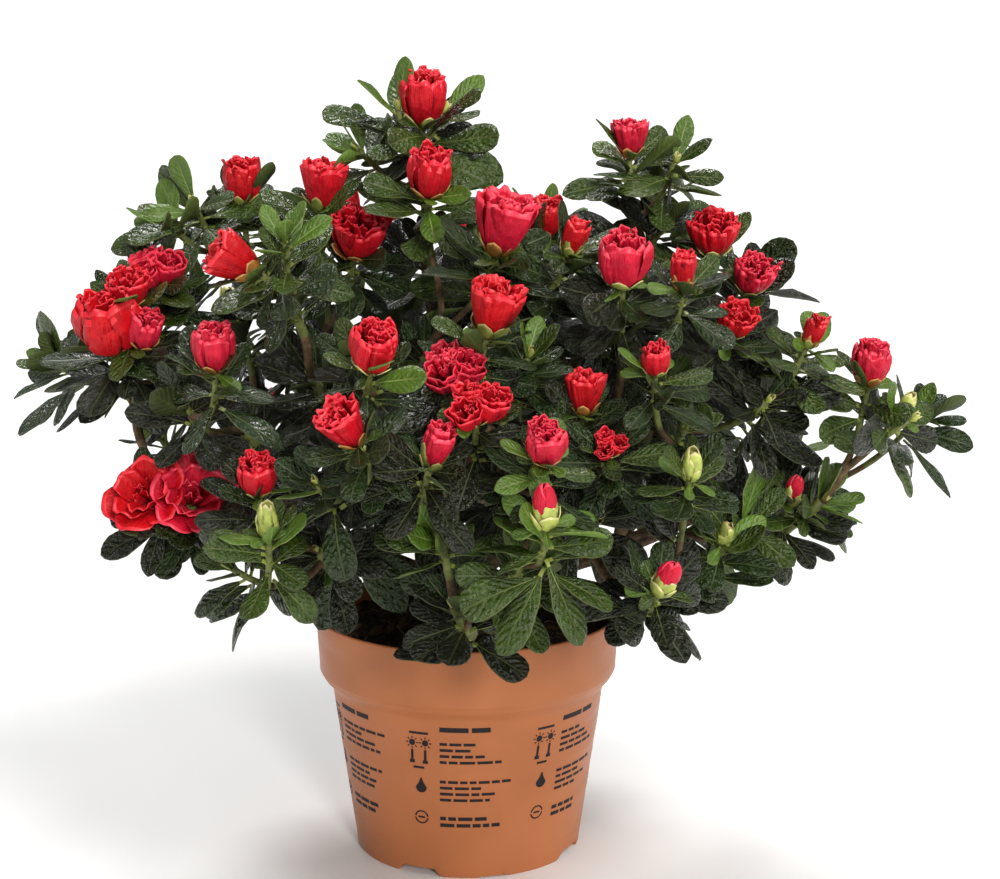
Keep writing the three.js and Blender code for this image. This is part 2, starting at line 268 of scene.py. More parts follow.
class Form:
    """Copies of templates gathered on their way into one joined mesh."""

    def __init__(self) -> None:
        """Starts empty."""
        self.parts: list[tuple[Array, ...]] = []
        self.count = 0

    def add(self, points: Array, tints: Array | int = 0, template: Template | None = None) -> None:
        """Adds copies of a template.

        Args:
            points: places of the copies' points, (copies, rings, sides, 3) for closed tubes.
            tints: number added to the finish of each copy's faces.
            template: the faces that every copy has, those of a closed tube when left out.
        """
        template = template or tube_template(*points.shape[-3:-1])
        points = points.reshape(-1, 3)
        copies = len(points) // template.points
        starts = self.count + np.arange(copies)[:, None] * template.points
        slots = template.slots + (np.zeros(copies, int) + tints)[:, None]
        self.parts.append((points, (template.corners + starts).ravel(), np.tile(template.sizes, copies),
                           slots.ravel(), np.tile(template.places, (copies, 1))))
        self.count += len(points)

    def piece(self, name: str, finishes: Sequence[Material], rounded: bool = True) -> Piece:
        """Makes the joined mesh and its object.

        Args:
            name: the piece's name.
            finishes: the materials that the face finishes number.
            rounded: shade the faces smooth.

        Returns:
            The new object, at the origin.
        """
        mesh = bpy.data.meshes.new(name)
        points, corners, sizes, slots, places = (np.concatenate(part) for part in zip(*self.parts))
        mesh.vertices.add(len(points))
        mesh.loops.add(len(corners))
        mesh.polygons.add(len(sizes))
        mesh.vertices.foreach_set("co", points.astype(np.float32).ravel())
        mesh.loops.foreach_set("vertex_index", corners.astype(np.int32))
        mesh.polygons.foreach_set("loop_start", (np.cumsum(sizes) - sizes).astype(np.int32))
        mesh.polygons.foreach_set("material_index", slots.astype(np.int32))
        mesh.polygons.foreach_set("use_smooth", np.full(len(sizes), rounded))
        mesh.uv_layers.new(name="UVMap").data.foreach_set("uv", places.astype(np.float32).ravel())
        for finish in finishes:
            mesh.materials.append(finish)
        mesh.update(calc_edges=True)
        piece = bpy.data.objects.new(name, mesh)
        bpy.context.scene.collection.objects.link(piece)
        log.info("%s: %d faces, %d triangles", name, len(sizes), int((sizes - 2).sum()))
        return piece


def settle(piece: Piece, nodes: Sequence[str] = ()) -> None:
    """Fixes a finished piece to the frame.

    Args:
        piece: the finished object.
        nodes: the CAD nodes that it stands for.
    """
    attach(piece, BODY)
    if nodes:
        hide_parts(*nodes)


def node_mesh(name: str) -> tuple[Array, Array]:
    """Reads a CAD node's mesh.

    Args:
        name: the node's name.

    Returns:
        Points (n, 3), and the numbers of the triangles' corners, (m, 3).
    """
    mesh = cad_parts[name].data
    mesh.calc_loop_triangles()
    points = np.empty(len(mesh.vertices) * 3, np.float32)
    corners = np.empty(len(mesh.loop_triangles) * 3, np.int32)
    mesh.vertices.foreach_get("co", points)
    mesh.loop_triangles.foreach_get("vertices", corners)
    return points.reshape(-1, 3).astype(float), corners.reshape(-1, 3)


def node_names(start: str) -> list[str]:
    """The CAD nodes whose names begin with a word, in order."""
    return sorted(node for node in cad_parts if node.startswith(start))


# ---------------------------------------------------------------- finishes


class Shader:
    """One procedural material on its way: a Principled surface and the nodes that feed it."""

    def __init__(self, name: str, colour: Colour, roughness: float, specular: float) -> None:
        """Starts a material.

        Args:
            name: the material's name.
            colour: linear base colour.
            roughness: 0 for a mirror, 1 for chalk.
            specular: level of the plain reflection, 0.5 for most surfaces.
        """
        self.material = bpy.data.materials.new(name)
        self.material.use_nodes = True
        self.material.diffuse_color = (*colour, 1.0)
        self.tree = self.material.node_tree
        self.surface = self.tree.nodes["Principled BSDF"]
        self.normal: Socket | None = None
        self.set({"Base Color": (*colour, 1.0), "Roughness": roughness, "Specular IOR Level": specular})

    def set(self, inputs: dict, node: bpy.types.Node | None = None) -> None:
        """Links sockets and writes values to inputs of a node.

        Args:
            inputs: sockets or values by the inputs' names.
            node: the node, the surface when left out.
        """
        for key, value in inputs.items():
            target = (node or self.surface).inputs[key]
            if isinstance(value, Socket):
                self.tree.links.new(value, target)
            else:
                target.default_value = value

    def node(self, kind: str, out: str | int, inputs: dict, **settings: str) -> Socket:
        """Adds a node.

        Args:
            kind: the node's type name after ShaderNode.
            out: the output that is wanted.
            inputs: sockets or values for its inputs.
            settings: properties of the node.

        Returns:
            The output.
        """
        node = self.tree.nodes.new("ShaderNode" + kind)
        for key, value in settings.items():
            setattr(node, key, value)
        self.set(inputs, node)
        return node.outputs[out]

    def place(self, which: str = "Object", stretch: Colour | None = None) -> Socket:
        """A coordinate of the piece, stretched by a factor on each axis."""
        place = self.node("TexCoord", which, {})
        return self.node("Mapping", "Vector", {"Vector": place, "Scale": stretch}) if stretch else place

    def noise(self, scale: float, detail: float = 3.0, rough: float = 0.5,
              place: Socket | None = None) -> Socket:
        """A cloudy pattern with about so many waves to the metre."""
        inputs = {"Scale": scale, "Detail": detail, "Roughness": rough, "Vector": place or self.place()}
        return self.node("TexNoise", "Fac", inputs)

    def cells(self, scale: float) -> Socket:
        """Distances in a cell pattern with about so many cells to the metre."""
        return self.node("TexVoronoi", "Distance", {"Scale": scale, "Vector": self.place()})

    def sums(self, operation: str, *values: Socket | float) -> Socket:
        """One arithmetic step between sockets or numbers."""
        return self.node("Math", 0, dict(enumerate(values)), operation=operation)

    def spread(self, value: Socket, low: float, high: float, to_low: float, to_high: float) -> Socket:
        """Stretches a value's range low..high over to_low..to_high, held at both ends."""
        inputs = {"Value": value, "From Min": low, "From Max": high, "To Min": to_low, "To Max": to_high}
        return self.node("MapRange", "Result", inputs)

    def shades(self, factor: Socket, stops: Sequence[tuple[float, Colour]]) -> None:
        """Feeds the base colour from a ramp of colours over a pattern.

        Args:
            factor: the pattern.
            stops: place and colour of each stop, in order.
        """
        out = self.node("ValToRGB", "Color", {"Fac": factor})
        ramp = out.node.color_ramp
        while len(ramp.elements) < len(stops):
            ramp.elements.new(0.5)
        for element, (place, colour) in zip(ramp.elements, stops):
            element.position = place
            element.color = (*colour, 1.0)
        self.set({"Base Color": out})

    def gloss(self, value: Socket, low: float, high: float) -> None:
        """Feeds the roughness from a pattern."""
        self.set({"Roughness": self.spread(value, 0.3, 0.7, low, high)})

    def relief(self, height: Socket, depth: float, strength: float) -> None:
        """Adds bump on top of any that is already there.

        Args:
            height: the pattern.
            depth: the depth that its range stands for, metres.
            strength: part of the bump that shows.
        """
        inputs = {"Strength": strength, "Distance": depth, "Height": height}
        if self.normal is not None:
            inputs["Normal"] = self.normal
        self.normal = self.node("Bump", "Normal", inputs)
        self.set({"Normal": self.normal})


def tone(colour: Colour, factor: float) -> Colour:
    """A colour with each channel multiplied."""
    return tuple(min(channel * factor, 1.0) for channel in colour)


def tones(colour: Colour, dark: float, light: float, low: float = 0.3, high: float = 0.7) -> tuple:
    """Two stops of a ramp: a colour made darker at one place and lighter at another."""
    return (low, tone(colour, dark)), (high, tone(colour, light))


@dataclass(frozen=True)
class Mottled:
    """A finish whose tones are dealt out by a cloudy pattern, with layers of relief.

    Fields: name; colour without the pattern; roughness; level of the plain reflection; scale,
    detail and roughness of the clouds; stops of the ramp; for each relief its depth in metres, its
    strength and its pattern, which is clouds or, with a scale alone, cells; for streaks in the
    gloss their scale, detail, stretch and the least and greatest roughness.
    """

    name: str
    colour: Colour
    roughness: float
    specular: float
    clouds: tuple[float, ...]
    stops: tuple[tuple[float, Colour], ...]
    reliefs: tuple[tuple[float, ...], ...] = ()
    streaks: tuple[float, ...] = ()

    def shader(self) -> Shader:
        """Lays the tones, streaks and reliefs on a new surface."""
        shader = Shader(self.name, self.colour, self.roughness, self.specular)
        shader.shades(shader.noise(*self.clouds), self.stops)
        if self.streaks:
            scale, detail, stretch, low, high = self.streaks
            place = shader.place("Object", (1.0, 1.0, stretch))
            shader.gloss(shader.noise(scale, detail, place=place), low, high)
        for depth, strength, *pattern in self.reliefs:
            height = shader.noise(*pattern) if len(pattern) > 1 else shader.cells(*pattern)
            shader.relief(height, depth, strength)
        return shader

    def materials(self) -> list[Material]:
        """The finish's one material."""
        return [self.shader().material]


@dataclass(frozen=True)
class LeafTone:
    """The colours of one tint of leaf: upper side, under side, and midrib with margin, pale from its hairs
    and partly a painted highlight.
    """

    name: str
    top: Colour
    under: Colour
    rib: Colour
    gloss: float
    quilt: float

    def veins(self, shader: Shader) -> tuple[Socket, Socket, Socket]:
        """Distance from the midrib, height of side veins that lean to the tip, and way to the tip.

        Args:
            shader: the material that they are made in.

        Returns:
            |2u - 1|, a triangle wave of 8 v - 2.4 |2u - 1|, and v, with u across and v along.
        """
        across = shader.node("SeparateXYZ", "X", {"Vector": shader.place("UV")})
        along = across.node.outputs["Y"]
        side = shader.sums("ABSOLUTE", shader.sums("MULTIPLY_ADD", across, 2.0, -1.0))
        phase = shader.sums("MULTIPLY_ADD", along, 8.0, shader.sums("MULTIPLY", side, -2.4))
        return side, shader.sums("POWER", shader.sums("PINGPONG", phase, 0.5), 0.5), along

    def top_material(self) -> Material:
        """Leathery upper side, quilted between its side veins."""
        shader = Mottled(f"leaf_top_{self.name}", self.top, self.gloss, 0.60, (70.0, 4.0),
                         tones(self.top, 0.72, 1.35, high=0.72)).shader()
        shader.relief(self.veins(shader)[1], 0.0014, self.quilt * 0.7)
        shader.relief(shader.noise(400.0, 3.0, 0.6), 0.0030, self.quilt)
        shader.gloss(shader.noise(240.0), self.gloss - 0.07, self.gloss + 0.10)
        shader.set({"Specular Tint": (1.0, 0.96, 0.92, 1.0)})
        return shader.material

    def under_material(self) -> Material:
        """Matt, paler and slightly downy under side with a pale midrib."""
        shader = Shader(f"leaf_under_{self.name}", self.under, 0.62, 0.3)
        side, veins, _ = self.veins(shader)
        clouds = shader.sums("ADD", shader.noise(120.0, 4.0), shader.spread(side, 0.02, 0.09, 0.5, 0.0))
        shader.shades(clouds, (*tones(self.under, 0.72, 1.15), (0.95, self.rib)))
        shader.relief(shader.sums("MULTIPLY", veins, -1.0), 0.0010, 0.4)
        shader.relief(shader.noise(800.0), 0.0004, 0.6)
        return shader.material

    def rib_material(self) -> Material:
        """Stalk, midrib and margin: pale at the stalk, nearly the blade's own colour at the tip; the margin
        partly a painted highlight.
        """
        shader = Shader(f"leaf_rib_{self.name}", self.rib, 0.5, 0.45)
        shader.shades(self.veins(shader)[2], ((0.14, STALK), *tones(self.rib, 0.9, 0.4, 0.36, 0.85)))
        shader.relief(shader.noise(900.0), 0.0003, 0.5)
        return shader.material

    def materials(self) -> list[Material]:
        """The tint's three materials in slot order."""
        return [self.top_material(), self.under_material(), self.rib_material()]


@dataclass(frozen=True)
class Silk:
    """A petal's colours in one tint: its face, and its crinkled rim painted paler and pinker as a
    highlight.
    """

    name: str
    face: Colour
    rim: Colour

    def materials(self) -> list[Material]:
        """Satin face with lengthwise veins and crinkles that lets a little light in, and a thin
        painted-highlight rim.
        """
        shader = Mottled(f"petal_{self.name}", self.face, 0.44, 0.28, (170.0,),
                         tones(self.face, 0.78, 1.12)).shader()
        shader.set({"Subsurface Weight": 0.12, "Subsurface Scale": 0.003, "Sheen Weight": 0.04,
                    "Sheen Roughness": 0.4, "Subsurface Radius": (1.0, 0.12, 0.10),
                    "Sheen Tint": (1.0, 0.35, 0.42, 1.0)})
        shader.relief(shader.noise(22.0, 2.0, place=shader.place("UV", (1.0, 0.12, 1.0))), 0.0012, 0.7)
        shader.relief(shader.noise(260.0), 0.0014, 0.7)
        # The rim is painted paler and pinker than the face: a painted highlight along the petal's edge.
        rim = Mottled(f"petal_rim_painted_highlight_{self.name}", self.rim, 0.42, 0.5, (500.0, 2.0),
                      tones(self.rim, 0.8, 1.15))
        return [shader.material, *rim.materials()]


def bark(name: str, dark: Colour, light: Colour, roughness: float, depth: float) -> Mottled:
    """Skin of a limb, twig or chip: blotches between two tones, with fine cracks and flakes."""
    return Mottled(name, light, roughness, 0.35, (260.0, 6.0, 0.6), ((0.34, dark), (0.66, light)),
                   ((depth, 0.7, 700.0), (depth * 0.5, 0.6, 1500.0, 3.0)))


def husk(name: str, body: Colour, edge: Colour) -> list[Mottled]:
    """Skin of a bud scale: its mottled body and its drier edge."""
    return [Mottled(f"scale_{name}_{part}", colour, 0.5, 0.4, (330.0, 4.0), tones(colour, 0.7, 1.25),
                    ((0.0003, 0.6, 700.0, 3.0),)) for part, colour in (("body", body), ("edge", edge))]


def all_materials(finishes: Sequence[Mottled | LeafTone | Silk]) -> list[Material]:
    """The materials of several finishes in slot order."""
    return [material for finish in finishes for material in finish.materials()]


TERRACOTTA: Colour = (0.455, 0.150, 0.050)
INK: Colour = (0.011, 0.008, 0.010)
PEAT_BROWN: Colour = (0.012, 0.007, 0.004)
STALK: Colour = (0.27, 0.32, 0.065)

POT_PLASTIC = Mottled("pot_plastic", TERRACOTTA, 0.42, 0.36, (34.0, 4.0), tones(TERRACOTTA, 0.93, 1.05),
                      ((0.0011, 0.35, 9.0, 2.0), (0.00006, 0.5, 1700.0, 2.0)), (30.0, 3.0, 6.0, 0.37, 0.51))
PRINT_INK = Mottled("print_ink", INK, 0.6, 0.25, (900.0,), tones(INK, 1.0, 1.8, 0.35, 0.75))
PEAT = Mottled("peat", PEAT_BROWN, 0.9, 0.3, (420.0, 8.0, 0.65),
               ((0.38, PEAT_BROWN), (0.66, (0.075, 0.042, 0.022))),
               ((0.0016, 0.9, 420.0, 8.0, 0.65), (0.0006, 0.6, 900.0)))
FLOOR_PAPER = Mottled("floor_paper", (0.95,) * 3, 0.7, 0.2, (3.0,),
                      ((0.3, (0.94,) * 3), (0.7, (0.96,) * 3)))
TWIG_BARKS = (
    bark("twig_old", (0.052, 0.033, 0.016), (0.20, 0.125, 0.06), 0.8, 0.0004),
    bark("twig_young", (0.075, 0.095, 0.022), (0.20, 0.22, 0.06), 0.55, 0.0002),
)
LIMB_BARK = bark("limb_bark", (0.040, 0.026, 0.014), (0.17, 0.115, 0.065), 0.85, 0.0007)
BITS = (
    bark("chip_dark", (0.018, 0.010, 0.006), (0.07, 0.035, 0.018), 0.85, 0.0004),
    bark("chip_light", (0.07, 0.038, 0.018), (0.20, 0.12, 0.06), 0.85, 0.0004),
    bark("root_pale", (0.30, 0.19, 0.10), (0.55, 0.40, 0.24), 0.7, 0.0002),
)
LEAF_TONES = (
    LeafTone("deep", (0.0090, 0.0130, 0.0034), (0.046, 0.062, 0.016), (0.066, 0.084, 0.024), 0.17, 1.1),
    LeafTone("dark", (0.014, 0.034, 0.0042), (0.058, 0.082, 0.018), (0.085, 0.115, 0.030), 0.17, 1.0),
    LeafTone("mid", (0.036, 0.068, 0.006), (0.085, 0.125, 0.023), (0.15, 0.19, 0.045), 0.22, 0.8),
    LeafTone("young", (0.074, 0.146, 0.010), (0.15, 0.25, 0.04), (0.30, 0.40, 0.11), 0.38, 0.5),
)
# Each tint's second colour is its rim's: paler and pinker, a painted highlight along the petals' edges.
SILKS = (
    Silk("scarlet", (0.59, 0.003, 0.008), (0.80, 0.022, 0.036)),
    Silk("red", (0.65, 0.004, 0.014), (0.84, 0.028, 0.050)),
    Silk("rose", (0.69, 0.010, 0.038), (0.87, 0.042, 0.086)),
)
HUSKS = (
    *husk("tan", (0.42, 0.17, 0.035), (0.55, 0.30, 0.10)),
    *husk("olive", (0.26, 0.30, 0.06), (0.42, 0.34, 0.12)),
    *husk("green", (0.44, 0.50, 0.11), (0.66, 0.60, 0.26)),
)


# ---------------------------------------------------------------- pot and soil


def turned(radius: Array, height: Array, angles: Array) -> Array:
    """Places round the axis from their radii, heights and bearings, which are broadcast."""
    flat = radius[..., None] * circle(angles)
    return np.concatenate([flat, np.broadcast_to(height, flat.shape[:-1])[..., None]], -1)


@dataclass
class Pot:
    """The growing pot: thin tapered wall, near-upright collar, standing ring with notches, drains.

    A notch has a bearing and a width in degrees and a depth, and is repeated in each quarter.
    """

    collar: float = 27 * MM
    collar_taper: float = 1.3 * MM
    shoulder_drop: float = 8 * MM
    shoulder_radius: float = 62.8 * MM
    base_radius: float = 52 * MM
    wall: float = 1.6 * MM
    lip: float = 0.8 * MM
    floor: float = 4 * MM
    ring: float = 4 * MM
    bore: float = 2 * MM
    notches: tuple = ((245.0, 24.0, 3.8 * MM), (283.0, 18.0, 0.8 * MM))
    notch_slope: float = 3.5
    drains: int = 6
    drain_radius: float = 4.5 * MM
    drain_reach: float = 30 * MM
    drain_sides: int = 24
    sides: int = 240
    sharp: float = 50.0

    def __post_init__(self) -> None:
        """Takes the rim's radius and the height from the frame."""
        low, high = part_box("pot")
        self.height, self.rim_radius = high.z, (high.x - low.x) / 2.0
        self.collar_radius = self.rim_radius - self.collar_taper
        self.collar_foot = self.height - self.collar
        self.shoulder = self.collar_foot - self.shoulder_drop

    def wall_radius(self, height: Array) -> Array:
        """Outer radius of the tapered body at a height, in a straight line from base to shoulder."""
        slope = (self.shoulder_radius - self.base_radius) / (self.shoulder - self.lip)
        return self.base_radius + slope * (height - self.lip)

    def corner(self, x: float, y: float, start: float, end: float, count: int) -> Array:
        """Points of a round corner in the profile plane, between two bearings in degrees."""
        return (x, y) + self.lip * circle(np.radians(np.linspace(start, end, count)))

    def profile(self) -> Array:
        """The closed section from the middle of the underside, out, up, over the lip and back in."""
        base, rim, lip, floor = self.base_radius, self.rim_radius, self.lip, self.floor
        foot, shoulder, top = self.collar_foot, self.shoulder, floor + self.wall
        inner, step_in = base - self.ring, self.shoulder_radius - self.wall
        collar_in = self.collar_radius - self.wall
        body = np.linspace(3 * MM, shoulder - 2 * MM, 12)
        step, rise = np.linspace(0.0, 1.0, 7), np.array([0.0, 0.33, 0.66, 0.9])
        step_out = self.collar_radius - lip - self.shoulder_radius
        return np.concatenate([
            [(self.bore, floor), (inner * 0.5, floor), (inner - lip, floor)],
            [(inner, floor - lip), (inner, lip * 0.5), (inner + lip * 0.5, 0.0)],
            self.corner(base - lip, lip, -90.0, 0.0, 4),
            np.stack([self.wall_radius(body), body], -1),
            np.stack([self.shoulder_radius + step_out * smooth(step),
                      shoulder + self.shoulder_drop * step], -1),
            self.corner(self.collar_radius - lip, foot + lip * 1.4, -60.0, 0.0, 3),
            np.stack([self.collar_radius + self.collar_taper * rise,
                      foot + 2.5 * MM + (self.collar - 5 * MM) * rise], -1),
            self.corner(rim - lip, self.height - lip, 0.0, 180.0, 7),
            [(rim - self.wall, self.height - 3 * MM), (collar_in, foot + self.wall + 1 * MM)],
            [(collar_in - lip, foot + self.wall - 1 * MM), (step_in + lip, shoulder + self.wall + 1 * MM)],
            [(step_in, shoulder + self.wall - 1 * MM), (base - self.wall, top + 1 * MM)],
            [(base - self.wall - 1 * MM, top), (base * 0.5, top), (self.bore, top)],
        ])

    def notch_rise(self, angles: Array) -> Array:
        """How far the standing ring's foot is lifted at each angle by the notches' leaning ends.

        Args:
            angles: bearings round the axis, radians.

        Returns:
            The lift at each.
        """
        rise = np.zeros_like(angles)
        for bearing, width, depth in self.notches:
            offset = (np.degrees(angles) - bearing + 45.0) % 90.0 - 45.0
            edge = (width / 2.0 - np.abs(offset)) / self.notch_slope
            rise = np.maximum(rise, depth * np.clip(edge, 0.0, 1.0))
        return rise

    def build(self) -> None:
        """Turns the profile round the axis, lifts the ring at its notches, and cuts the drains."""
        profile, angles = self.profile(), around(self.sides)
        radius, height = profile[:, :1], profile[:, 1:]
        near_ring = radius > self.base_radius - self.ring - 1.5 * MM
        lifted = np.where(near_ring, np.maximum(height, self.notch_rise(angles)), height)
        form = Form()
        form.add(turned(radius, lifted, angles))
        piece = form.piece("pot_shell", POT_PLASTIC.materials())
        self.cut_drains(piece)
        piece.data.set_sharp_from_angle(angle=math.radians(self.sharp))
        settle(piece, ["pot"])

    def cut_drains(self, piece: Piece) -> None:
        """Cuts the round drains through the floor of the shell with joined upright tubes.

        Args:
            piece: the pot's shell, changed in place.
        """
        heights = np.array([self.floor - 2 * MM, self.floor + self.wall + 2 * MM])
        paths = turned(np.full((self.drains, 2), self.drain_reach), heights, around(self.drains)[:, None])
        form = Form()
        form.add(sweep(paths, np.full((self.drains, 2, self.drain_sides), self.drain_radius)))
        cutter = form.piece("drain_cutter", [])
        cut = piece.modifiers.new("drains", "BOOLEAN")
        cut.operation, cut.object = "DIFFERENCE", cutter
        with bpy.context.temp_override(object=piece, active_object=piece):
            bpy.ops.object.modifier_apply(modifier=cut.name)
        bpy.data.objects.remove(cutter)


@dataclass
class Print:
    """Plain printed marks on the pot's body: rows of short bars with sun, drop and ring marks.

    Each block of marks is laid out flat in millimetres, along the body and up it.  A text row has
    the height of its first line, the pitch, number and thickness of its lines.
    """

    pot: Pot
    seed: int = 41
    blocks: int = 6
    first: float = 160.0
    spacing: float = 55.0
    raised: float = 0.10 * MM
    sunk: float = 0.25 * MM
    titles: tuple = ((-11.8, 1.2, 73.4, 2.3), (2.6, 11.0, 73.4, 2.3))
    rows: tuple = ((66.4, 2.95, 4, 1.35), (47.9, 2.95, 4, 1.35), (29.8, 3.3, 2, 1.75))
    text_side: float = -11.8
    text_width: float = 33.0
    mark_side: float = -21.5
    form: Form = field(default_factory=Form)
    bearing: float = 0.0

    def on_wall(self, along: Array, height: Array, out: Array) -> Array:
        """Wraps flat places round the body: angle = bearing + along / radius at that height."""
        radius = self.pot.wall_radius(height * MM)
        return turned(radius + out, height * MM, math.radians(self.bearing) + along * MM / radius)

    def bars(self, spans: Sequence) -> None:
        """Adds raised bars, each a box bent round the body in four steps.

        Args:
            spans: start, end, height of the middle and thickness of each bar, (k, 4).
        """
        start, end, middle, thick = np.array(spans).T[:, :, None, None]
        along = start + (end - start) * np.linspace(0.0, 1.0, 5)[:, None]
        height = middle + thick * np.array([-0.5, -0.5, 0.5, 0.5])
        out = np.array([-self.sunk, self.raised, self.raised, -self.sunk])
        self.form.add(self.on_wall(along, height, out))

    def patch(self, outline: Array) -> None:
        """Adds a raised flat mark bounded by a closed outline (along, height), counterclockwise."""
        out = np.array([[-self.sunk], [self.raised]])
        self.form.add(self.on_wall(outline[:, 0], outline[:, 1], out))

    def words(self, draw: Draw, height: float, thick: float) -> list:
        """One row: bars of seeded lengths with even gaps, up to a seeded width.

        Args:
            draw: the seeded generator.
            height: height of the bars' middles.
            thick: their thickness.

        Returns:
            The bars' spans.
        """
        row, place = [], self.text_side
        end = self.text_side + self.text_width * draw.uniform(0.45, 1.0)
        while place < end - 2.0:
            length = min(draw.uniform(2.2, 7.0), end - place)
            row.append((place, place + length, height, thick))
            place += length + 1.0
        return row

    def sun(self, middle: tuple[float, float]) -> None:
        """A round sun with eight rays.

        Args:
            middle: where it stands on the wall.
        """
        self.patch(circle(around(24)) * 1.5 + middle)
        for way in circle(around(8)):
            near, far, side = way * 1.9 + middle, way * 3.0 + middle, np.array([-way[1], way[0]]) * 0.26
            self.patch(np.array([near - side, far - side, far + side, near + side]))

    def drop(self, middle: tuple[float, float]) -> None:
        """A water drop: a circle drawn out to a point at the top.

        Args:
            middle: where it stands on the wall.
        """
        across, up = circle(around(28)).T
        outline = np.stack([across * (1.0 - smooth(up) * 0.55), up + 0.9 * np.maximum(up, 0.0) ** 3], -1)
        self.patch(outline * 2.6 + middle)

    def ring_mark(self, middle: tuple[float, float]) -> None:
        """A plain ring in two halves, round a bar.

        Args:
            middle: where it stands on the wall.
        """
        for start in (0.0, math.pi):
            arc = circle(np.linspace(start + 0.12, start + math.pi - 0.12, 14))
            self.patch(np.concatenate([arc * 3.3, arc[::-1] * 2.6]) + middle)
        self.bars([(middle[0] - 1.6, middle[0] + 1.6, middle[1], 0.9)])

    def build(self) -> None:
        """Repeats the block of marks round the pot."""
        draw, side = np.random.default_rng(self.seed), self.mark_side
        for block in range(self.blocks):
            self.bearing = self.first + block * self.spacing
            spans = list(self.titles)
            for top, pitch, count, thick in self.rows:
                for row in range(count):
                    spans += self.words(draw, top - row * pitch, thick)
            spans += [(side - 4.5, side + 4.5, 71.0, 1.1), (side - 2.6, side + 2.6, 54.2, 1.1)]
            for stand in (side - 3.1, side + 3.1):
                self.sun((stand, 66.2))
                spans += [(stand - 0.6, stand + 0.6, 60.0, 5.6), (stand - 1.2, stand + 1.2, 57.0, 1.6)]
            self.drop((side + 1.0, 44.4))
            self.ring_mark((side + 1.0, 29.6))
            self.bars(spans)
        settle(self.form.piece("pot_marks", PRINT_INK.materials(), rounded=False))


@dataclass
class Soil:
    """The peat that fills the pot, with bits of bark and root on it."""

    pot: Pot
    seed: int = 23
    rings: int = 70
    sides: int = 240
    gap: float = 0.35 * MM
    crumb: float = 1.5 * MM
    chips: int = 420
    fibres: int = 46
    fibre_radius: float = 0.22 * MM
    root_radius: float = 0.8 * MM
    root: tuple = ((-31.0, -38.0, 0.0), (-33.0, -50.0, 1.8), (-20.0, -53.0, 2.2), (-17.0, -44.0, 0.2))

    def __post_init__(self) -> None:
        """Takes the level and the reach from the frame."""
        low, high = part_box("soil")
        self.low, self.level, self.reach = low.z, high.z - 1.1 * MM, high.x - self.gap

    def surface(self, flat: Array) -> Array:
        """Height of the peat: its level plus slow swells, clods and crumbs, flat near the trunk.

        Args:
            flat: places, x and y on the last axis.

        Returns:
            The height at each.
        """
        places = np.concatenate([flat, 0.0 * flat[..., :1]], -1)
        swell = 1.0 * MM * ripple(places, 60 * MM, self.seed)
        clods = self.crumb * np.abs(ripple(places, 9 * MM, self.seed + 1, 9))
        crumbs = 0.5 * self.crumb * np.abs(ripple(places, 3.2 * MM, self.seed + 2, 12))
        away = smooth((np.linalg.norm(flat, axis=-1) - 8 * MM) / (10 * MM))
        return self.level - 1.5 * MM + (swell + clods + crumbs) * away

    def laid(self, flat: Array, lift: Array | float) -> Array:
        """Places on the peat, lifted a little."""
        return np.concatenate([flat, (self.surface(flat) + lift)[..., None]], -1)

    def build_bed(self) -> None:
        """A closed turned body: bottom, wall inside the pot, and the uneven top on a polar grid."""
        pot, back = self.pot, self.pot.wall + 2 * self.gap
        base, collar, foot = pot.base_radius - back, pot.collar_radius - back, pot.collar_foot + pot.wall
        outline = np.array([
            (2 * MM, self.low), (base - 1 * MM, self.low), (base, self.low + 1 * MM),
            (pot.shoulder_radius - back, foot - pot.shoulder_drop - 1 * MM), (collar - 1.5 * MM, foot),
            (collar, foot + 3 * MM), (self.reach - self.gap, self.level - 3 * MM)])
        radius = np.r_[outline[:, 0], np.linspace(0.998, 0.03, self.rings) * self.reach][:, None]
        points = turned(radius, np.zeros(self.sides), around(self.sides))
        points[: len(outline), :, 2] = outline[:, 1:]
        points[len(outline):, :, 2] = self.surface(points[len(outline):, :, :2])
        form = Form()
        form.add(points)
        settle(form.piece("soil_bed", PEAT.materials()), ["soil"])

    def spots(self, draw: Draw, count: int, near: float, far: float) -> Array:
        """Seeded flat places between two parts of the bed's area."""
        reach = self.reach * np.sqrt(draw.uniform(near, far, count))
        return reach[:, None] * circle(draw.uniform(0.0, TURN, count))

    def build_bits(self) -> None:
        """Bark chips as squat six-sided lumps, fibres as thin bent tubes, one pale crooked root."""
        draw, form, chips = np.random.default_rng(self.seed + 9), Form(), self.chips
        middle = self.laid(self.spots(draw, chips, 0.03, 0.93), 0.3 * MM)
        way = unit(draw.normal(size=(chips, 3)) * (1.0, 1.0, 0.25))
        length = draw.uniform(0.8, 3.0, chips)[:, None] * MM * draw.choice([0.6, 1.0, 1.7], (chips, 1))
        paths = middle[:, None] + way[:, None] * (length * [-1.0, -0.4, 0.45, 1.0])[..., None]
        girth = (length * [0.25, 0.5, 0.42, 0.2])[..., None]
        radii = girth * draw.uniform(0.4, 0.95, (chips, 4, 6))
        form.add(sweep(paths, radii), draw.choice([0, 0, 1], chips))
        start = self.spots(draw, self.fibres, 0.1, 0.85)
        ends = start[:, None] + draw.normal(size=(self.fibres, 4, 2)).cumsum(1) * 3.0 * MM
        handles = self.laid(ends, draw.uniform(0.0, 1.6, (self.fibres, 4)) * MM)
        thin = np.full((self.fibres, 8, 5), self.fibre_radius)
        form.add(sweep(bezier(handles, np.linspace(0.0, 1.0, 8)), thin), draw.choice([1, 2], self.fibres))
        root = np.array(self.root) * MM
        swell = self.root_radius * (1.0 + 0.2 * np.sin(np.arange(16) * 1.3))[:, None] * np.ones(8)
        path = bezier(self.laid(root[:, :2], root[:, 2])[None], np.linspace(0.0, 1.0, 16))
        form.add(sweep(path, swell[None]), 2)
        settle(form.piece("soil_bits", all_materials(BITS)))


# ---------------------------------------------------------------- limbs and twigs


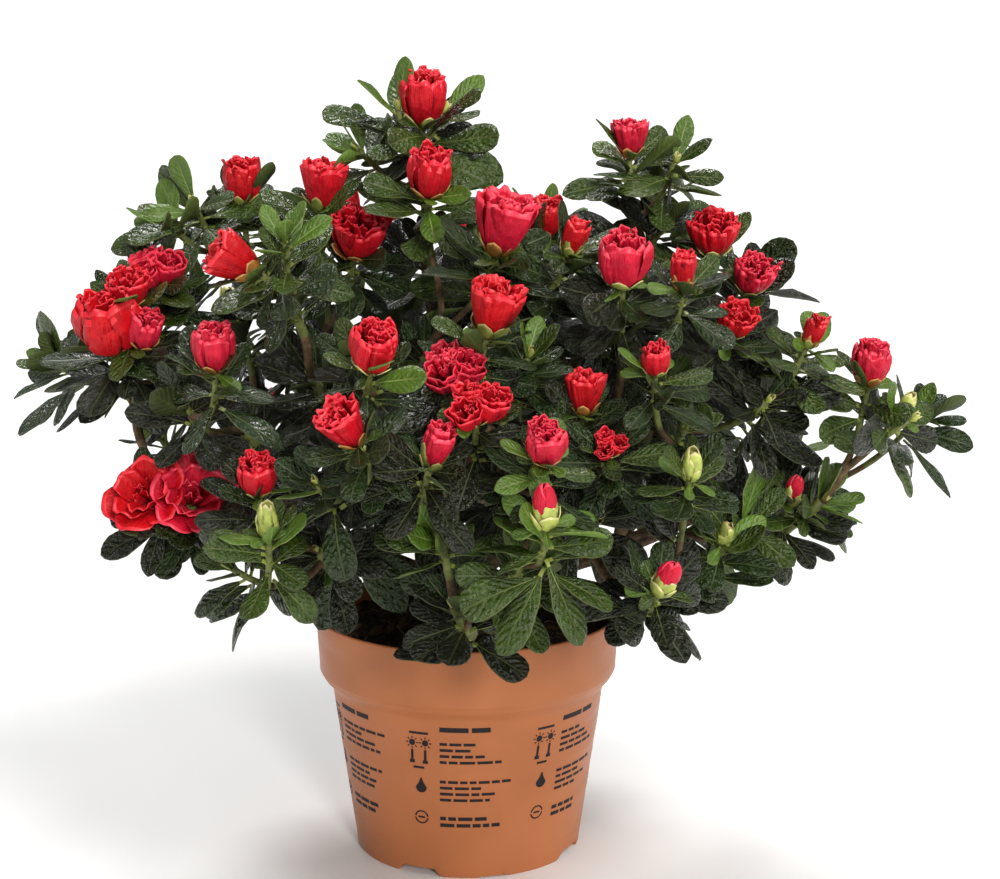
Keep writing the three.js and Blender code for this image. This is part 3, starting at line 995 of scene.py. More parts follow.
@dataclass
class Limbs:
    """The trunk and the boughs, with bark relief, along the frame's own limbs."""

    rings: int = 64
    sides: int = 28
    sunk: float = 0.08
    trunk_radius: float = 6.2 * MM
    fork_swell: float = 0.8 * MM
    root_flare: float = 5.5 * MM
    boughs: dict[str, tuple[Array, Array]] = field(default_factory=dict)

    def __post_init__(self) -> None:
        """Reads every limb from the frame."""
        low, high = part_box("trunk")
        points = node_mesh("trunk")[0]
        top = points[points[:, 2] > high.z - 6 * MM].mean(0)
        self.fork = np.array([*top[:2], high.z - 2 * MM])
        self.foot = np.array([(low.x + high.x) / 2.0, (low.y + high.y) / 2.0, low.z])
        for name in node_names("bough_"):
            self.boughs[name] = self.read_bough(node_mesh(name)[0])

    def read_bough(self, points: Array) -> tuple[Array, Array]:
        """Finds a bough's centre line and radius from the points of its solid.

        They are ordered along the line between the two that lie furthest apart; a quadratic in
        that order gives the centre line, and the mean distance from it the radius.  The bough is
        carried on a little into the trunk, where it swells.

        Args:
            points: places on the bough's skin, (n, 3).

        Returns:
            Points of the centre line (rings, 3) and the radius at each.
        """
        away = points[np.argmax(np.linalg.norm(points - points.mean(0), axis=1))]
        other = points[np.argmax(np.linalg.norm(points - away, axis=1))]
        start, end = sorted((away, other), key=lambda place: np.linalg.norm(place - self.fork))
        part = (points - start) @ (end - start) / ((end - start) @ (end - start))
        powers = np.stack([part**0, part, part**2], -1)
        handles = np.linalg.lstsq(powers, points, rcond=None)[0]
        off = np.linalg.norm(points - powers @ handles, axis=1)
        thick, thin = np.polyval(np.polyfit(part, off, 1), [0.0, 1.0])
        t = np.linspace(-self.sunk, 1.0, self.rings)
        widths = np.interp(t, [-self.sunk, 0.0, 0.1, 1.0], [thick * 1.5, thick * 1.3, thick * 1.08, thin])
        return np.stack([t**0, t, t**2], -1) @ handles, widths

    def relief(self, points: Array, scale: float) -> Array:
        """Bark relief as a factor on the radius: lengthwise ridges and slow knots.

        Args:
            points: the limb's centre line, (rings, 3).
            scale: wave length of the knots.

        Returns:
            Factors (rings, sides).
        """
        turn, along = around(self.sides), np.arange(self.rings)[:, None] * 0.35
        ridges = 0.05 * np.sin(5 * turn + 0.8 * np.sin(along * 0.7)) + 0.035 * np.sin(9 * turn - along)
        rings_of_bark = 0.02 * np.sin(along * 2.3 + 2.0 * np.sin(3 * turn))
        return 1.0 + ridges + rings_of_bark + 0.10 * ripple(points, scale, self.rings)[:, None]

    def build(self) -> None:
        """Sweeps trunk and boughs into one piece."""
        form, rise = Form(), np.linspace(0.0, 1.0, self.rings)
        handles = np.array([self.foot - UP * MM, self.foot + UP * 13 * MM,
                            self.fork - UP * 10 * MM, self.fork + UP * 4 * MM])
        path = bezier(handles[None], rise)
        ribs = 1.0 + 0.25 * np.cos(4 * around(self.sides))
        body = (self.trunk_radius + self.fork_swell * rise)[:, None]
        body = body + self.root_flare * np.exp(-7.0 * rise)[:, None] * ribs
        crown = np.sqrt(np.clip((1.02 - rise) / 0.10, 0.05, 1.0))[:, None]
        radii = body * crown * self.relief(path[0], 30 * MM)
        form.add(sweep(path, radii[None]))
        for curve, widths in self.boughs.values():
            form.add(sweep(curve[None], (widths[:, None] * self.relief(curve, 24 * MM))[None]))
        settle(form.piece("limbs", LIMB_BARK.materials()), ["trunk", *self.boughs])


@dataclass
class Skeleton:
    """The branching rule: each shoot's stem joins the limb or twig that costs it least.

    The cost of a place is its distance from the stem's foot plus a share of the way from there
    down to the trunk.  Places further out than the foot, by more than some slack, and places too
    near to it cost more.  Shoots are grown from the inside outwards.  A stem's radius follows from
    the number of shoots that it bears.
    """

    home_share: float = 0.38
    tip_radius: float = 1.35 * MM
    thickening: float = 0.36
    rings: int = 14
    sides: int = 8
    green: int = 5
    joints: int = 9
    slack: float = 12 * MM
    nearest: float = 9 * MM
    places: list[Array] = field(default_factory=list)
    parents: list[int] = field(default_factory=list)
    homeward: list[float] = field(default_factory=list)
    caps: list[float] = field(default_factory=list)
    loads: list[int] = field(default_factory=list)
    twigs: list[tuple[list[int], Array]] = field(default_factory=list)

    def plant(self, limbs: Limbs) -> None:
        """Puts the boughs' centre lines into the graph.

        Args:
            limbs: the limbs that the twigs grow on from.
        """
        for curve, widths in limbs.boughs.values():
            parent = -1
            for pick in np.linspace(8, len(curve) - 1, 14).astype(int):
                parent = self.node(curve[pick], parent, widths[pick] * 0.92)

    def node(self, place: Array, parent: int, cap: float) -> int:
        """Adds one node of the graph.

        Args:
            place: where it is.
            parent: number of the node below, -1 at a bough's foot.
            cap: greatest radius there.

        Returns:
            Its number.
        """
        way = 0.0
        if parent >= 0:
            way = self.homeward[parent] + float(np.linalg.norm(place - self.places[parent]))
        for column, value in ((self.places, place), (self.parents, parent), (self.homeward, way),
                              (self.caps, cap), (self.loads, 0)):
            column.append(value)
        return len(self.places) - 1

    def grow(self, tip: Array, axis: Array, stem: float) -> None:
        """Grows one stem to a shoot.

        Args:
            tip: where the shoot's whorl stands.
            axis: the shoot's direction.
            stem: length of the straight part under the whorl.
        """
        foot, places = tip - axis * stem, np.array(self.places)
        gap = np.linalg.norm(places - foot, axis=1)
        inside = np.linalg.norm(places - HEART, axis=1) < np.linalg.norm(foot - HEART) + self.slack
        cost = gap + self.home_share * np.array(self.homeward)
        cost = cost + np.where(inside, 0.0, 1.0) + np.where(gap < self.nearest, 0.02, 0.0)
        start = int(np.argmin(cost))
        origin, above = places[start], self.parents[start]
        along = unit(origin - (places[above] if above >= 0 else HEART))
        reach = float(np.linalg.norm(foot - origin))
        lead = unit(0.7 * unit(foot - origin) + 0.5 * along)
        handles = np.array([origin, origin + lead * reach * 0.45, tip - axis * (stem + reach * 0.30), tip])
        chain = [start]
        for point in bezier(handles[None], np.linspace(0.0, 1.0, self.joints))[0, 1:]:
            chain.append(self.node(point, chain[-1], 1.0))
        self.twigs.append((chain, handles))
        parent = chain[-1]
        while parent >= 0:
            self.loads[parent] += 1
            parent = self.parents[parent]

    def build(self) -> None:
        """Sweeps every stem; the stretches next to its shoot are green, the rest brown."""
        chains, handles = (np.array(part) for part in zip(*self.twigs))
        steps = np.linspace(0.0, 1.0, self.rings)
        paths = bezier(handles, steps)
        loads = np.maximum(np.array(self.loads, float), 1.0)
        table = np.minimum(self.tip_radius * loads**self.thickening, self.caps)[chains]
        table[:, 0] = np.minimum(table[:, 0], table[:, 1] * 1.25)
        joints = np.linspace(0.0, 1.0, self.joints)
        widths = np.array([np.interp(steps, joints, row) for row in table])
        knuckles = 1.0 + 0.10 * ripple(paths, 7 * MM, 5)
        radii = (widths * knuckles)[..., None] * (1.0 + 0.06 * np.cos(3 * around(self.sides)))
        form = Form()
        form.add(sweep(paths, radii), template=tube_template(self.rings, self.sides, self.green))
        settle(form.piece("twigs", all_materials(TWIG_BARKS)))


# ---------------------------------------------------------------- leaves and blooms


@dataclass
class Bed:
    """Leaves, petals or scales gathered as rows of sizes and then worked out together.

    Fields: name of its pieces, and a slot name that is not used; parts of the length and of the half
    width that have points; finishes of each tint; sizes of the members by group, the tint's number first.
    The kinds of bed give the template of one member and the shape of many.
    """

    name: str
    slot: str
    rows: Sequence[float]
    columns: Sequence[float]
    kinds: int = 2
    notes: dict[str, list[Array]] = field(default_factory=dict)

    def __post_init__(self) -> None:
        """Makes arrays of the rows and columns."""
        self.rows, self.columns = np.array(self.rows), np.array(self.columns)

    def note(self, group: str, *sizes: Array | float) -> None:
        """Notes one member of a group, as the numbers that shape reads."""
        self.notes.setdefault(group, []).append(np.hstack(sizes))

    def build(self, finishes: Sequence[Material], replaced: dict[str, list[str]]) -> None:
        """Makes one joined piece for each group.

        Args:
            finishes: the materials of all tints.
            replaced: the foliage nodes that each group stands for.
        """
        template = self.template()
        for group in sorted(self.notes):
            table = np.array(self.notes[group])
            form = Form()
            form.add(self.shape(table), (table[:, 0] * self.kinds).astype(int), template)
            settle(form.piece(f"{self.name}_{group}", finishes), replaced.get(group, ()))


@dataclass
class LeafBed(Bed):
    """Leaves: a stalk that widens into a blade with a grooved midrib and a keel under it.

    Fields: least half width of the stalk and of the tip; thickness over the midline; depth of the
    groove, and of the keel at the tip and further at the stalk.
    """

    stalk: float = 0.85 * MM
    point: float = 0.25 * MM
    skin: float = 0.14 * MM
    groove: float = 0.22 * MM
    keel: float = 0.35 * MM
    stalk_keel: float = 0.45 * MM

    def template(self) -> Template:
        """Margins and midrib, and the whole stalk, take the third finish; the pale margins are partly a
        painted highlight.
        """
        upper = np.tile([2, 0, 0, 2, 0, 0, 2], (len(self.rows) - 1, 1))
        upper[0] = 2
        return blade_template(self.rows, self.columns, 1, upper, np.ones((len(self.rows) - 1, 2), int))

    def shape(self, table: Array) -> Array:
        """Works out the points of many leaves.

        The midrib starts along the leaf's way and turns from its face at a rate that grows along
        it.  The half width is s^1.35 (1 - s)^blunt over its own greatest value, and not under the
        stalk's.  The section rises with the distance from the midrib by the fold, drops towards
        the margin, and waves along it.

        Args:
            table: for each leaf its tint; the stalk's foot, the way it starts in and its face, x, y
                and z each; length, half width, bend and roll in radians, fold as a part of the
                width, phase of the wavy edge, and bluntness, from 0.4, round, to 0.8, pointed.

        Returns:
            Points (k, rows, points in a row, 3).
        """
        base, way, face = table[:, 1:4], unit(table[:, 4:7]), table[:, 7:10]
        length, width, bend, roll, fold, phase, blunt = table.T[10:, :, None]
        face = unit(face - way * (face * way).sum(-1, keepdims=True))

        def bent(rows: Array) -> tuple[Array, Array]:
            """The way and the face as they have turned at some rows."""
            cos, sin = (part[..., None] for part in (np.cos(bend * rows**1.3), np.sin(bend * rows**1.3)))
            return way[:, None] * cos - face[:, None] * sin, way[:, None] * sin + face[:, None] * cos

        s, c = self.rows, self.columns
        along = bent(np.r_[0.0, (s[1:] + s[:-1]) / 2.0])[0] * (np.diff(s, prepend=0.0) * length)[..., None]
        centre = (base[:, None] + along.cumsum(1))[:, :, None]
        tangent, normal = bent(s)
        side, cos, sin = np.cross(tangent, normal), np.cos(roll * s)[..., None], np.sin(roll * s)[..., None]
        side, normal = (side * cos + normal * sin)[:, :, None], (normal * cos - side * sin)[:, :, None]
        outline = s**1.35 * (1.0 - s) ** blunt
        peak = (1.35 / (1.35 + blunt)) ** 1.35 * (blunt / (1.35 + blunt)) ** blunt
        half = np.maximum(width * outline / peak, np.where(s < 0.5, self.stalk, self.point))[..., None]
        swell, wide = np.sin(np.pi * s)[:, None], width[..., None]
        lift = half * (fold[..., None] * np.abs(c) - 0.20 * c**4)
        lift += 0.07 * wide * c**2 * np.sin(9.0 * s + phase)[..., None] * swell * np.sign(c + 1e-9)
        lift += 0.05 * wide * c**2 * np.cos(14.0 * s + 2.0 * phase)[..., None] * swell
        lift += np.where(np.abs(c) > 0.99, 0.0, self.skin)
        lift -= np.where(np.abs(c) < 0.1, self.groove, 0.0) * swell
        upper = centre + side * (half * c)[..., None] + normal * lift[..., None]
        keel = centre - normal * (self.keel + self.stalk_keel * (1.0 - s))[:, None, None]
        return np.concatenate([upper, keel], 2)


class Stage(Enum):
    """How far the flower on a shoot has come, with half its height in mm."""

    LEAFY = ("leafy", 0.0)
    GREEN_BUD = ("green bud", 8.0)
    PINK_BUD = ("pink bud", 9.0)
    SMALL = ("small", 11.0)
    TULIP = ("tulip", 14.0)
    CUP = ("cup", 13.0)
    GLOBE = ("globe", 12.5)
    RUFFLED = ("ruffled", 12.5)
    TRUSS = ("truss", 10.0)
    OPEN = ("open", 8.0)

    @property
    def half(self) -> float:
        """Half the flower's height in metres."""
        return self.value[1] * MM


LEAFY, GREEN_BUD, PINK_BUD, SMALL, TULIP, CUP, GLOBE, RUFFLED, TRUSS, OPEN = Stage
BUDS = (GREEN_BUD, PINK_BUD)


@dataclass(frozen=True)
class Whorl:
    """One ring of petals or scales.

    Fields: how many; length and half width in mm; radius of the foot in mm; lean from the axis at
    foot, middle and tip in degrees; rounding of the tip's corners; ruffle in mm and its half waves;
    jag of the tip in mm; crease in mm; tuck of one edge under the next in mm; lift of the foot in
    mm; how far the edges are drawn in, in mm; outward roll of the rim in degrees.
    """

    count: int
    length: float
    half: float
    foot: float
    leans: tuple[float, float, float]
    rounding: float
    ruffle: float
    waves: float
    jag: float
    crease: float
    tuck: float
    lift: float = 0.0
    cup: float = 0.0
    curl: float = 0.0


@dataclass(frozen=True)
class Heart:
    """The crumpled middle of a double flower: small folded petals that face every way.

    Fields: how many; reach from the axis, height of their feet, length and half width in mm; how
    much they fan out.
    """

    count: int
    reach: float
    lift: float
    length: float
    half: float
    fan: float


FORMS: dict[Stage, tuple[Whorl, ...]] = {
    CUP: (
        Whorl(5, 24.5, 7.8, 2.8, (74, 14, -12), 0.12, 1.1, 2.2, 0.8, 0.5, 0.9, 0, 1.5, -26),
        Whorl(5, 25, 6.8, 2.2, (60, 12, -8), 0.11, 1.1, 2.3, 0.9, 0.3, 0.7, 0.6, 1.2, -22),
    ),
    GLOBE: (
        Whorl(5, 23, 9.8, 4.2, (88, 15, -44), 0.16, 1.2, 2.1, 0.7, 0.5, 1.1, 0, 2.2, -6),
        Whorl(5, 23, 8.6, 3.4, (72, 14, -46), 0.12, 1, 1.8, 0.7, 0, 0.7, 0.6, 2.4, -6),
    ),
    RUFFLED: (
        Whorl(6, 22.5, 8.2, 2.8, (70, 27, 2), 0.12, 1.3, 2.3, 1, 0.4, 0.9, 0, 1.5, -12),
        Whorl(6, 22.5, 7, 2.4, (58, 22, 4), 0.11, 1.3, 2.3, 1.1, 0, 0.7, 0.8, 1.4, 8),
    ),
    TULIP: (
        Whorl(6, 24, 7.6, 2.6, (56, 18, 12), 0.12, 1.2, 2.3, 1.1, 0.4, 0.8, 0, 1.3, -10),
        Whorl(6, 24.5, 6.4, 2, (44, 15, 9), 0.11, 1.2, 2.2, 1.3, 0, 0.6, 0.4, 1.2, 4),
    ),
    OPEN: (
        Whorl(5, 26, 12.5, 2.6, (30, 54, 70), 0.16, 1.4, 1.8, 1.2, 0.4, 1.2, 0, -0.6, 4),
        Whorl(5, 23, 11, 2.2, (24, 34, 36), 0.14, 1.5, 2.2, 1.3, 0.3, 1, 0.8, 0.8, 4),
    ),
    SMALL: (
        Whorl(5, 19, 5.5, 1.8, (56, 10, -8), 0.1, 0.8, 2.1, 0.7, 0.3, 0.6, 0, 1.3, -20),
        Whorl(4, 19.5, 5.2, 1.3, (38, 6, -4), 0.1, 0.7, 1.9, 0.8, 0, 0.6, 0.5, 1.1, -10),
    ),
    TRUSS: (
        Whorl(5, 15.5, 6.4, 2.4, (66, 20, -4), 0.1, 0.7, 1.9, 0.7, 0, 0.7, 0, 1.6, 4),
        Whorl(4, 15.5, 5.8, 1.8, (50, 14, -6), 0.1, 0.8, 2.1, 0.7, 0, 0.8, 0.5, 1, 8),
    ),
    PINK_BUD: (Whorl(4, 19.5, 6, 0.7, (44, 3, -58), 0.3, 0.1, 1.2, 0.1, 0.3, 0.5, 1, 0.6),),
}

HEARTS: dict[Stage, Heart] = {
    CUP: Heart(24, 5.9, 10, 15, 3.2, 0.1),
    GLOBE: Heart(16, 5.2, 7, 13.4, 4.2, 0.08),
    RUFFLED: Heart(32, 8, 9, 14, 3.3, 0.4),
    TULIP: Heart(14, 5.6, 9, 15, 3.2, 0.3),
    OPEN: Heart(7, 3.2, 3, 12, 3.4, 0.4),
    SMALL: Heart(8, 2.7, 9, 11.5, 2.7, 0.18),
    TRUSS: Heart(9, 3.2, 6.5, 8.6, 2.6, 0.36),
}

SEPALS = (0.62, 0.2, 1, 0, 0.3, 0.5, -0.9)
SCALES: dict[Stage, tuple[Whorl, ...]] = {
    CUP: (Whorl(5, 10, 5.2, 3.3, (68, 44, 24), *SEPALS),),
    GLOBE: (Whorl(5, 10, 5.2, 3.5, (74, 46, 26), *SEPALS),),
    RUFFLED: (Whorl(5, 10, 5.2, 3.3, (70, 48, 34), *SEPALS),),
    TULIP: (Whorl(5, 10.5, 5, 3.1, (58, 38, 22), *SEPALS),),
    TRUSS: (Whorl(6, 10.5, 5, 3.4, (66, 40, 26), 0.62, 0.2, 1, 0, 0.3, 0.5, -1),),
    OPEN: (Whorl(5, 9, 4.2, 2.8, (46, 34, 34), 0.66, 0.2, 1, 0, 0.3, 0.4, -0.8),),
    SMALL: (
        Whorl(5, 12, 4.6, 2.3, (56, 14, -6), 0.6, 0.2, 1, 0, 0.3, 0.5, -0.6),
        Whorl(4, 8.5, 4, 2.6, (62, 26, 6), 0.66, 0.1, 1, 0, 0.3, 0.4, -1.5),
    ),
    PINK_BUD: (
        Whorl(4, 13, 5.2, 2, (54, 8, -26), 0.5, 0.1, 1, 0, 0.2, 0.5, 0, 0.4),
        Whorl(4, 9.5, 4.8, 2.4, (62, 20, -8), 0.54, 0.1, 1, 0, 0.2, 0.5, -1, 0.4),
    ),
    GREEN_BUD: (
        Whorl(4, 18.5, 5.8, 1.2, (48, 4, -46), 0.4, 0.1, 1, 0, 0.2, 0.6, 1, 0.6),
        Whorl(4, 15.5, 6, 1.9, (54, 6, -40), 0.4, 0.1, 1, 0, 0.2, 0.5, 0, 0.6),
        Whorl(4, 10.5, 5.6, 2.3, (60, 16, -22), 0.46, 0.1, 1, 0, 0.2, 0.4, -1, 0.4),
    ),
    LEAFY: (Whorl(4, 6.5, 2.4, 0.8, (36, 6, -20), 0.6, 0.1, 1, 0, 0.2, 0.3),),
}


@dataclass
class PetalBed(Bed):
    """Petals or scales: blades that wrap the flower's axis."""

    thickness: float = 0.2 * MM
    fine: int = 32

    def template(self) -> Template:
        """The last row, the rim, takes the tint's second finish: a painted highlight on petals, the drier
        edge on scales.
        """
        strips = np.zeros((len(self.rows) - 1, len(self.columns) - 1), int)
        strips[-1] = 1
        return blade_template(self.rows, self.columns, len(self.columns) - 2, strips, strips)

    def put(self, group: str, foot: Array, axis: Array, whorl: Whorl, size: float, tint: int,
            draw: Draw) -> None:
        """Notes the members of one whorl, each a little off the whorl's sizes.

        Args:
            group: the piece that they are joined into.
            foot: middle of the flower's foot.
            axis: the flower's direction.
            whorl: the ring's sizes.
            size: factor on every length.
            tint: number of the tint.
            draw: the seeded generator.
        """
        start, scale = draw.uniform(0.0, 6.28), size * MM
        for number in range(whorl.count):
            turn = start + (number + draw.uniform(-0.20, 0.20)) * TURN / whorl.count
            vary = draw.normal(1.0, (0.06, 0.13, 0.05))
            leans = np.radians(whorl.leans + draw.normal(0.0, (2.0, 2.0, 3.5)))
            self.note(
                group, tint, foot, axis, turn, whorl.length * vary[0] * scale, whorl.half * vary[1] * scale,
                whorl.foot * scale, leans, whorl.rounding, whorl.ruffle * scale,
                whorl.waves * draw.uniform(0.8, 1.2), whorl.jag * scale, whorl.crease * scale,
                whorl.tuck * scale, whorl.lift * scale, draw.uniform(0.0, 6.28), draw.uniform(0.0, 6.28),
                whorl.cup * scale, math.radians(whorl.curl * draw.uniform(0.4, 1.5)))

    def shape(self, table: Array) -> Array:
        """Works out the points of many petals.

        The petal's middle line lies in the plane of its bearing: its lean from the axis is the
        quadratic through the three leans plus the curl of its last fifth, and radius and height are
        the running sums of the lean's sine and cosine.  The blade wraps the axis: its bearing is the
        middle's plus u times half width over radius.  Corners are rounded by stopping short where
        |u| is large, and the skin is moved along its normal by the crease, cup, tuck and ruffle.

        Args:
            table: one row for each petal, as noted by put.

        Returns:
            Points (k, rows, points in a row, 3).
        """
        foot, axis = table[:, 1:4], unit(table[:, 4:7])
        (turn, length, half, start, low, mid, top, rounding, ruffle, waves, jag, crease, tuck, lift,
         phase, other, cup, curl) = table.T[7:, :, None, None]
        t = np.linspace(0.0, 1.0, self.fine + 1)
        lean = low * (1 - t) * (1 - 2 * t) + mid * 4 * t * (1 - t) + top * t * (2 * t - 1)
        lean = (lean + curl * smooth((t - 0.78) / 0.22))[:, 0]
        v, u = self.rows[:, None], self.columns
        reach = v * (1.0 - rounding * np.abs(u) ** 2.4 * v**1.5)
        place = np.clip(reach * self.fine, 0.0, self.fine - 0.001)
        whole, rows = place.astype(int), np.arange(len(table))[:, None, None]

        def at(values: Array) -> Array:
            """Values of the fine line at each point's reach."""
            return values[rows, whole] * (1.0 - place + whole) + values[rows, whole + 1] * (place - whole)

        def run(slope: Array) -> Array:
            """Running sums of a slope along the fine line, from 0."""
            steps = (slope[:, 1:] + slope[:, :-1]) / (2.0 * self.fine)
            return np.pad(steps.cumsum(1), ((0, 0), (1, 0)))

        radius = start + length * at(run(np.sin(lean)))
        ragged = 0.4 * v**4 * np.sin(2.9 * u + other) + 0.5 * v**8 * np.sin(5.6 * u + phase)
        ragged = ragged + 0.35 * v**12 * np.sin(11.0 * u + 2.0 * phase)
        height = lift + length * at(run(np.cos(lean))) + jag * ragged * (1.0 - 0.7 * u**4)
        slope = at(lean)
        wide = half * (0.24 + 0.76 * np.sin(np.minimum(reach / 0.68, 1.0) * np.pi / 2.0))
        spread = np.clip(wide / np.maximum(radius, 0.55 * half), 0.0, 1.25)
        push = ruffle * v**1.5 * np.sin(waves * np.pi * u + phase)
        push = push - crease * np.exp(-((u / 0.25) ** 2)) * np.sin(np.pi * v)
        push = push + tuck * u * (0.35 + 0.65 * v) * (1.0 - 0.8 * v**6) - cup * u * u * smooth(v / 0.5)
        bearing = turn + u * spread + 0.06 * v**2 * np.sin(phase)
        radius = np.maximum(radius + push * np.cos(slope), 0.15 * MM)
        local = turned(radius, height - push * np.sin(slope), bearing)
        skin = unit(np.cross(np.gradient(local, axis=2), np.gradient(local, axis=1)))
        inner = (local - skin * self.thickness)[:, :, 1:-1]
        axes = np.stack([*square_pair(axis), axis], 1)[:, None]
        return np.concatenate([local, inner], 2) @ axes + foot[:, None, None]


# ---------------------------------------------------------------- the crown


@dataclass(frozen=True)
class Head:
    """A flower or leafy tip that is placed one by one from a list.

    Fields: stage; place across and up the mass, as parts of its half sizes from its middle, on its
    front; size factor; lean to the right and to the front, as parts of the rise; fresh green
    leaves; number of leaves, 0 for a seeded one.
    """

    stage: Stage
    across: float
    up: float
    size: float
    right: float
    front: float
    fresh: bool = False
    leaves: int = 0


HEADS: dict[str, tuple[Head, ...]] = {
    "top": (
        Head(CUP, 0.17, 0.5, 0.95, 0.05, 0.1),
        Head(LEAFY, -0.1, 0.37, 1, -0.1, 0.1, True, 9),
        Head(LEAFY, -0.52, -0.02, 0.95, -0.9, 0.5, True),
        Head(LEAFY, 0.36, 0.34, 1.1, 0.6, 0, leaves=10),
    ),
    "top_front": (Head(CUP, 0.06, 0.84, 0.88, 0.1, 0.45),),
    "left_high_back": (
        Head(CUP, 0.28, 0.7, 0.8, 0, 0.2),
        Head(LEAFY, -0.26, 0.44, 1, -0.3, 0.6, True),
        Head(LEAFY, -0.58, 0.2, 0.9, -0.8, 0.8, True),
    ),
    "left_high": (Head(TULIP, 0.15, 0.78, 0.86, 0.1, 0.1), Head(RUFFLED, 0.6, 0.12, 0.92, 0.15, 0.5)),
    "left_high_front": (
        Head(LEAFY, 0.17, 0.64, 0.9, 0, 0.3, True),
        Head(TULIP, -0.44, 0.46, 0.85, -1.6, 0.4),
    ),
    "left_mid": (
        Head(TRUSS, -0.08, 0.88, 0.95, -0.1, 0.6),
        Head(GLOBE, -0.48, 0.3, 1.3, -0.15, 0.45),
        Head(RUFFLED, -0.28, 0.64, 0.7, -0.1, 0.4),
        Head(CUP, -0.1, 0.14, 0.7, 0.3, 0.4),
    ),
    "left_out": (Head(LEAFY, -0.16, 0.16, 0.95, -1.2, 0.4),),
    "left_mid_front": (Head(CUP, 0.19, 0.8, 0.8, 0, 0.25),),
    "front_high": (Head(TULIP, -0.09, 0.6, 1.05, 0.25, 0.2), Head(SMALL, 0.83, 0.38, 0.8, 0.3, 0.2)),
    "high_middle": (Head(CUP, 0.00, 0.8, 0.7, 0.1, 0.2),),
    "front_mid_left": (Head(CUP, 0.21, 0.36, 0.84, 0.2, 0.6),),
    "front_mid": (Head(TULIP, -0.22, 0.74, 0.9, 0.25, 0.2), Head(TRUSS, -0.76, 0.08, 0.9, -0.1, 0.7)),
    "front_low_left": (Head(TULIP, 0.13, 0.74, 0.78, -0.55, 0.5),),
    "front_low": (
        Head(TRUSS, -0.35, 0.88, 0.87, 0, 0.6),
        Head(SMALL, -0.76, 0.46, 0.92, 0.3, 0.4),
        Head(CUP, 0.39, 0.52, 0.71, 0, 0.6),
        Head(PINK_BUD, 0.39, -0.12, 1.05, 0, 0.3, True),
    ),
    "front_right": (
        Head(TULIP, -0.9, 0.4, 0.72, 0, 0.1),
        Head(TRUSS, -0.64, -0.16, 0.5, 0, 0.9),
        Head(GREEN_BUD, 0.26, -0.38, 0.76, 0.1, 0.3),
        Head(CUP, -0.13, 0.84, 0.52, 0, 0.3),
    ),
    "right_front_high": (Head(CUP, -0.24, 0.66, 0.92, 0, 0.4), Head(SMALL, 0.46, 0.56, 0.8, 0, 0.3)),
    "right_high_out": (
        Head(RUFFLED, -0.3, 0.72, 0.8, 0, 0.35),
        Head(RUFFLED, 0.14, 0.24, 0.7, 0.3, 0.5),
    ),
    "right_mid_front": (Head(RUFFLED, -0.32, 0.94, 0.62, 0.3, 0.5), Head(SMALL, 0.6, 0.8, 0.7, 0.4, 0.2)),
    "right_high": (
        Head(TULIP, -0.34, 0.66, 0.7, 0, 0.1),
        Head(LEAFY, 0.2, 0.38, 1, 0.3, 0.5),
        Head(LEAFY, 0.1, -0.3, 1, 0.7, 0.4),
    ),
    "right_out": (
        Head(CUP, -0.2, 0.74, 0.76, 0.1, 0.1, leaves=9),
        Head(GREEN_BUD, 0.12, 0.3, 0.62, 0.6, 0.3, leaves=8),
        Head(LEAFY, 0.14, 0.1, 1.1, 1.2, 0.6, leaves=5),
    ),
    "right_low": (Head(PINK_BUD, 0.06, 0.44, 0.8, 0.2, 0.4), Head(LEAFY, 0.36, 0.26, 0.95, 1, 0.5, True)),
    "right_low_front": (Head(GREEN_BUD, -0.26, 0.32, 0.6, 0.2, 0.4),),
    "front_right_low": (Head(PINK_BUD, 0.14, 0.18, 0.95, 0.4, 0.6),),
    "left_low": (Head(OPEN, -0.24, 0.5, 0.86, -0.4, 1.2), Head(OPEN, 0.19, 0.48, 0.9, 0.3, 1.1)),
    "left_low_front": (Head(CUP, 0.1, 0.96, 0.72, 0, 0.4), Head(GREEN_BUD, 0.24, 0.6, 0.82, 0, 0.2)),
    "front_foot": (
        Head(LEAFY, -0.23, 0.8, 0.95, -0.2, 0.8, True),
        Head(LEAFY, 0.51, 0.5, 0.95, 0.2, 0.8, True),
    ),
}

SCATTERED = {CUP: 0.28, RUFFLED: 0.20, TULIP: 0.15, TRUSS: 0.12, OPEN: 0.03, SMALL: 0.10, PINK_BUD: 0.06,
             GREEN_BUD: 0.06}


@dataclass
class Shoot:
    """One tip: its place, direction, stage, the size of what it bears, its seed and its leaves.

    Its shade is 1 inside the crown, its leaves then a tone darker as painted shade, 0 outside, -1 for fresh
    green leaves.
    """

    tip: Array
    axis: Array
    stage: Stage
    size: float
    group: str
    seed: tuple[int, ...]
    shade: float
    leaves: int = 0


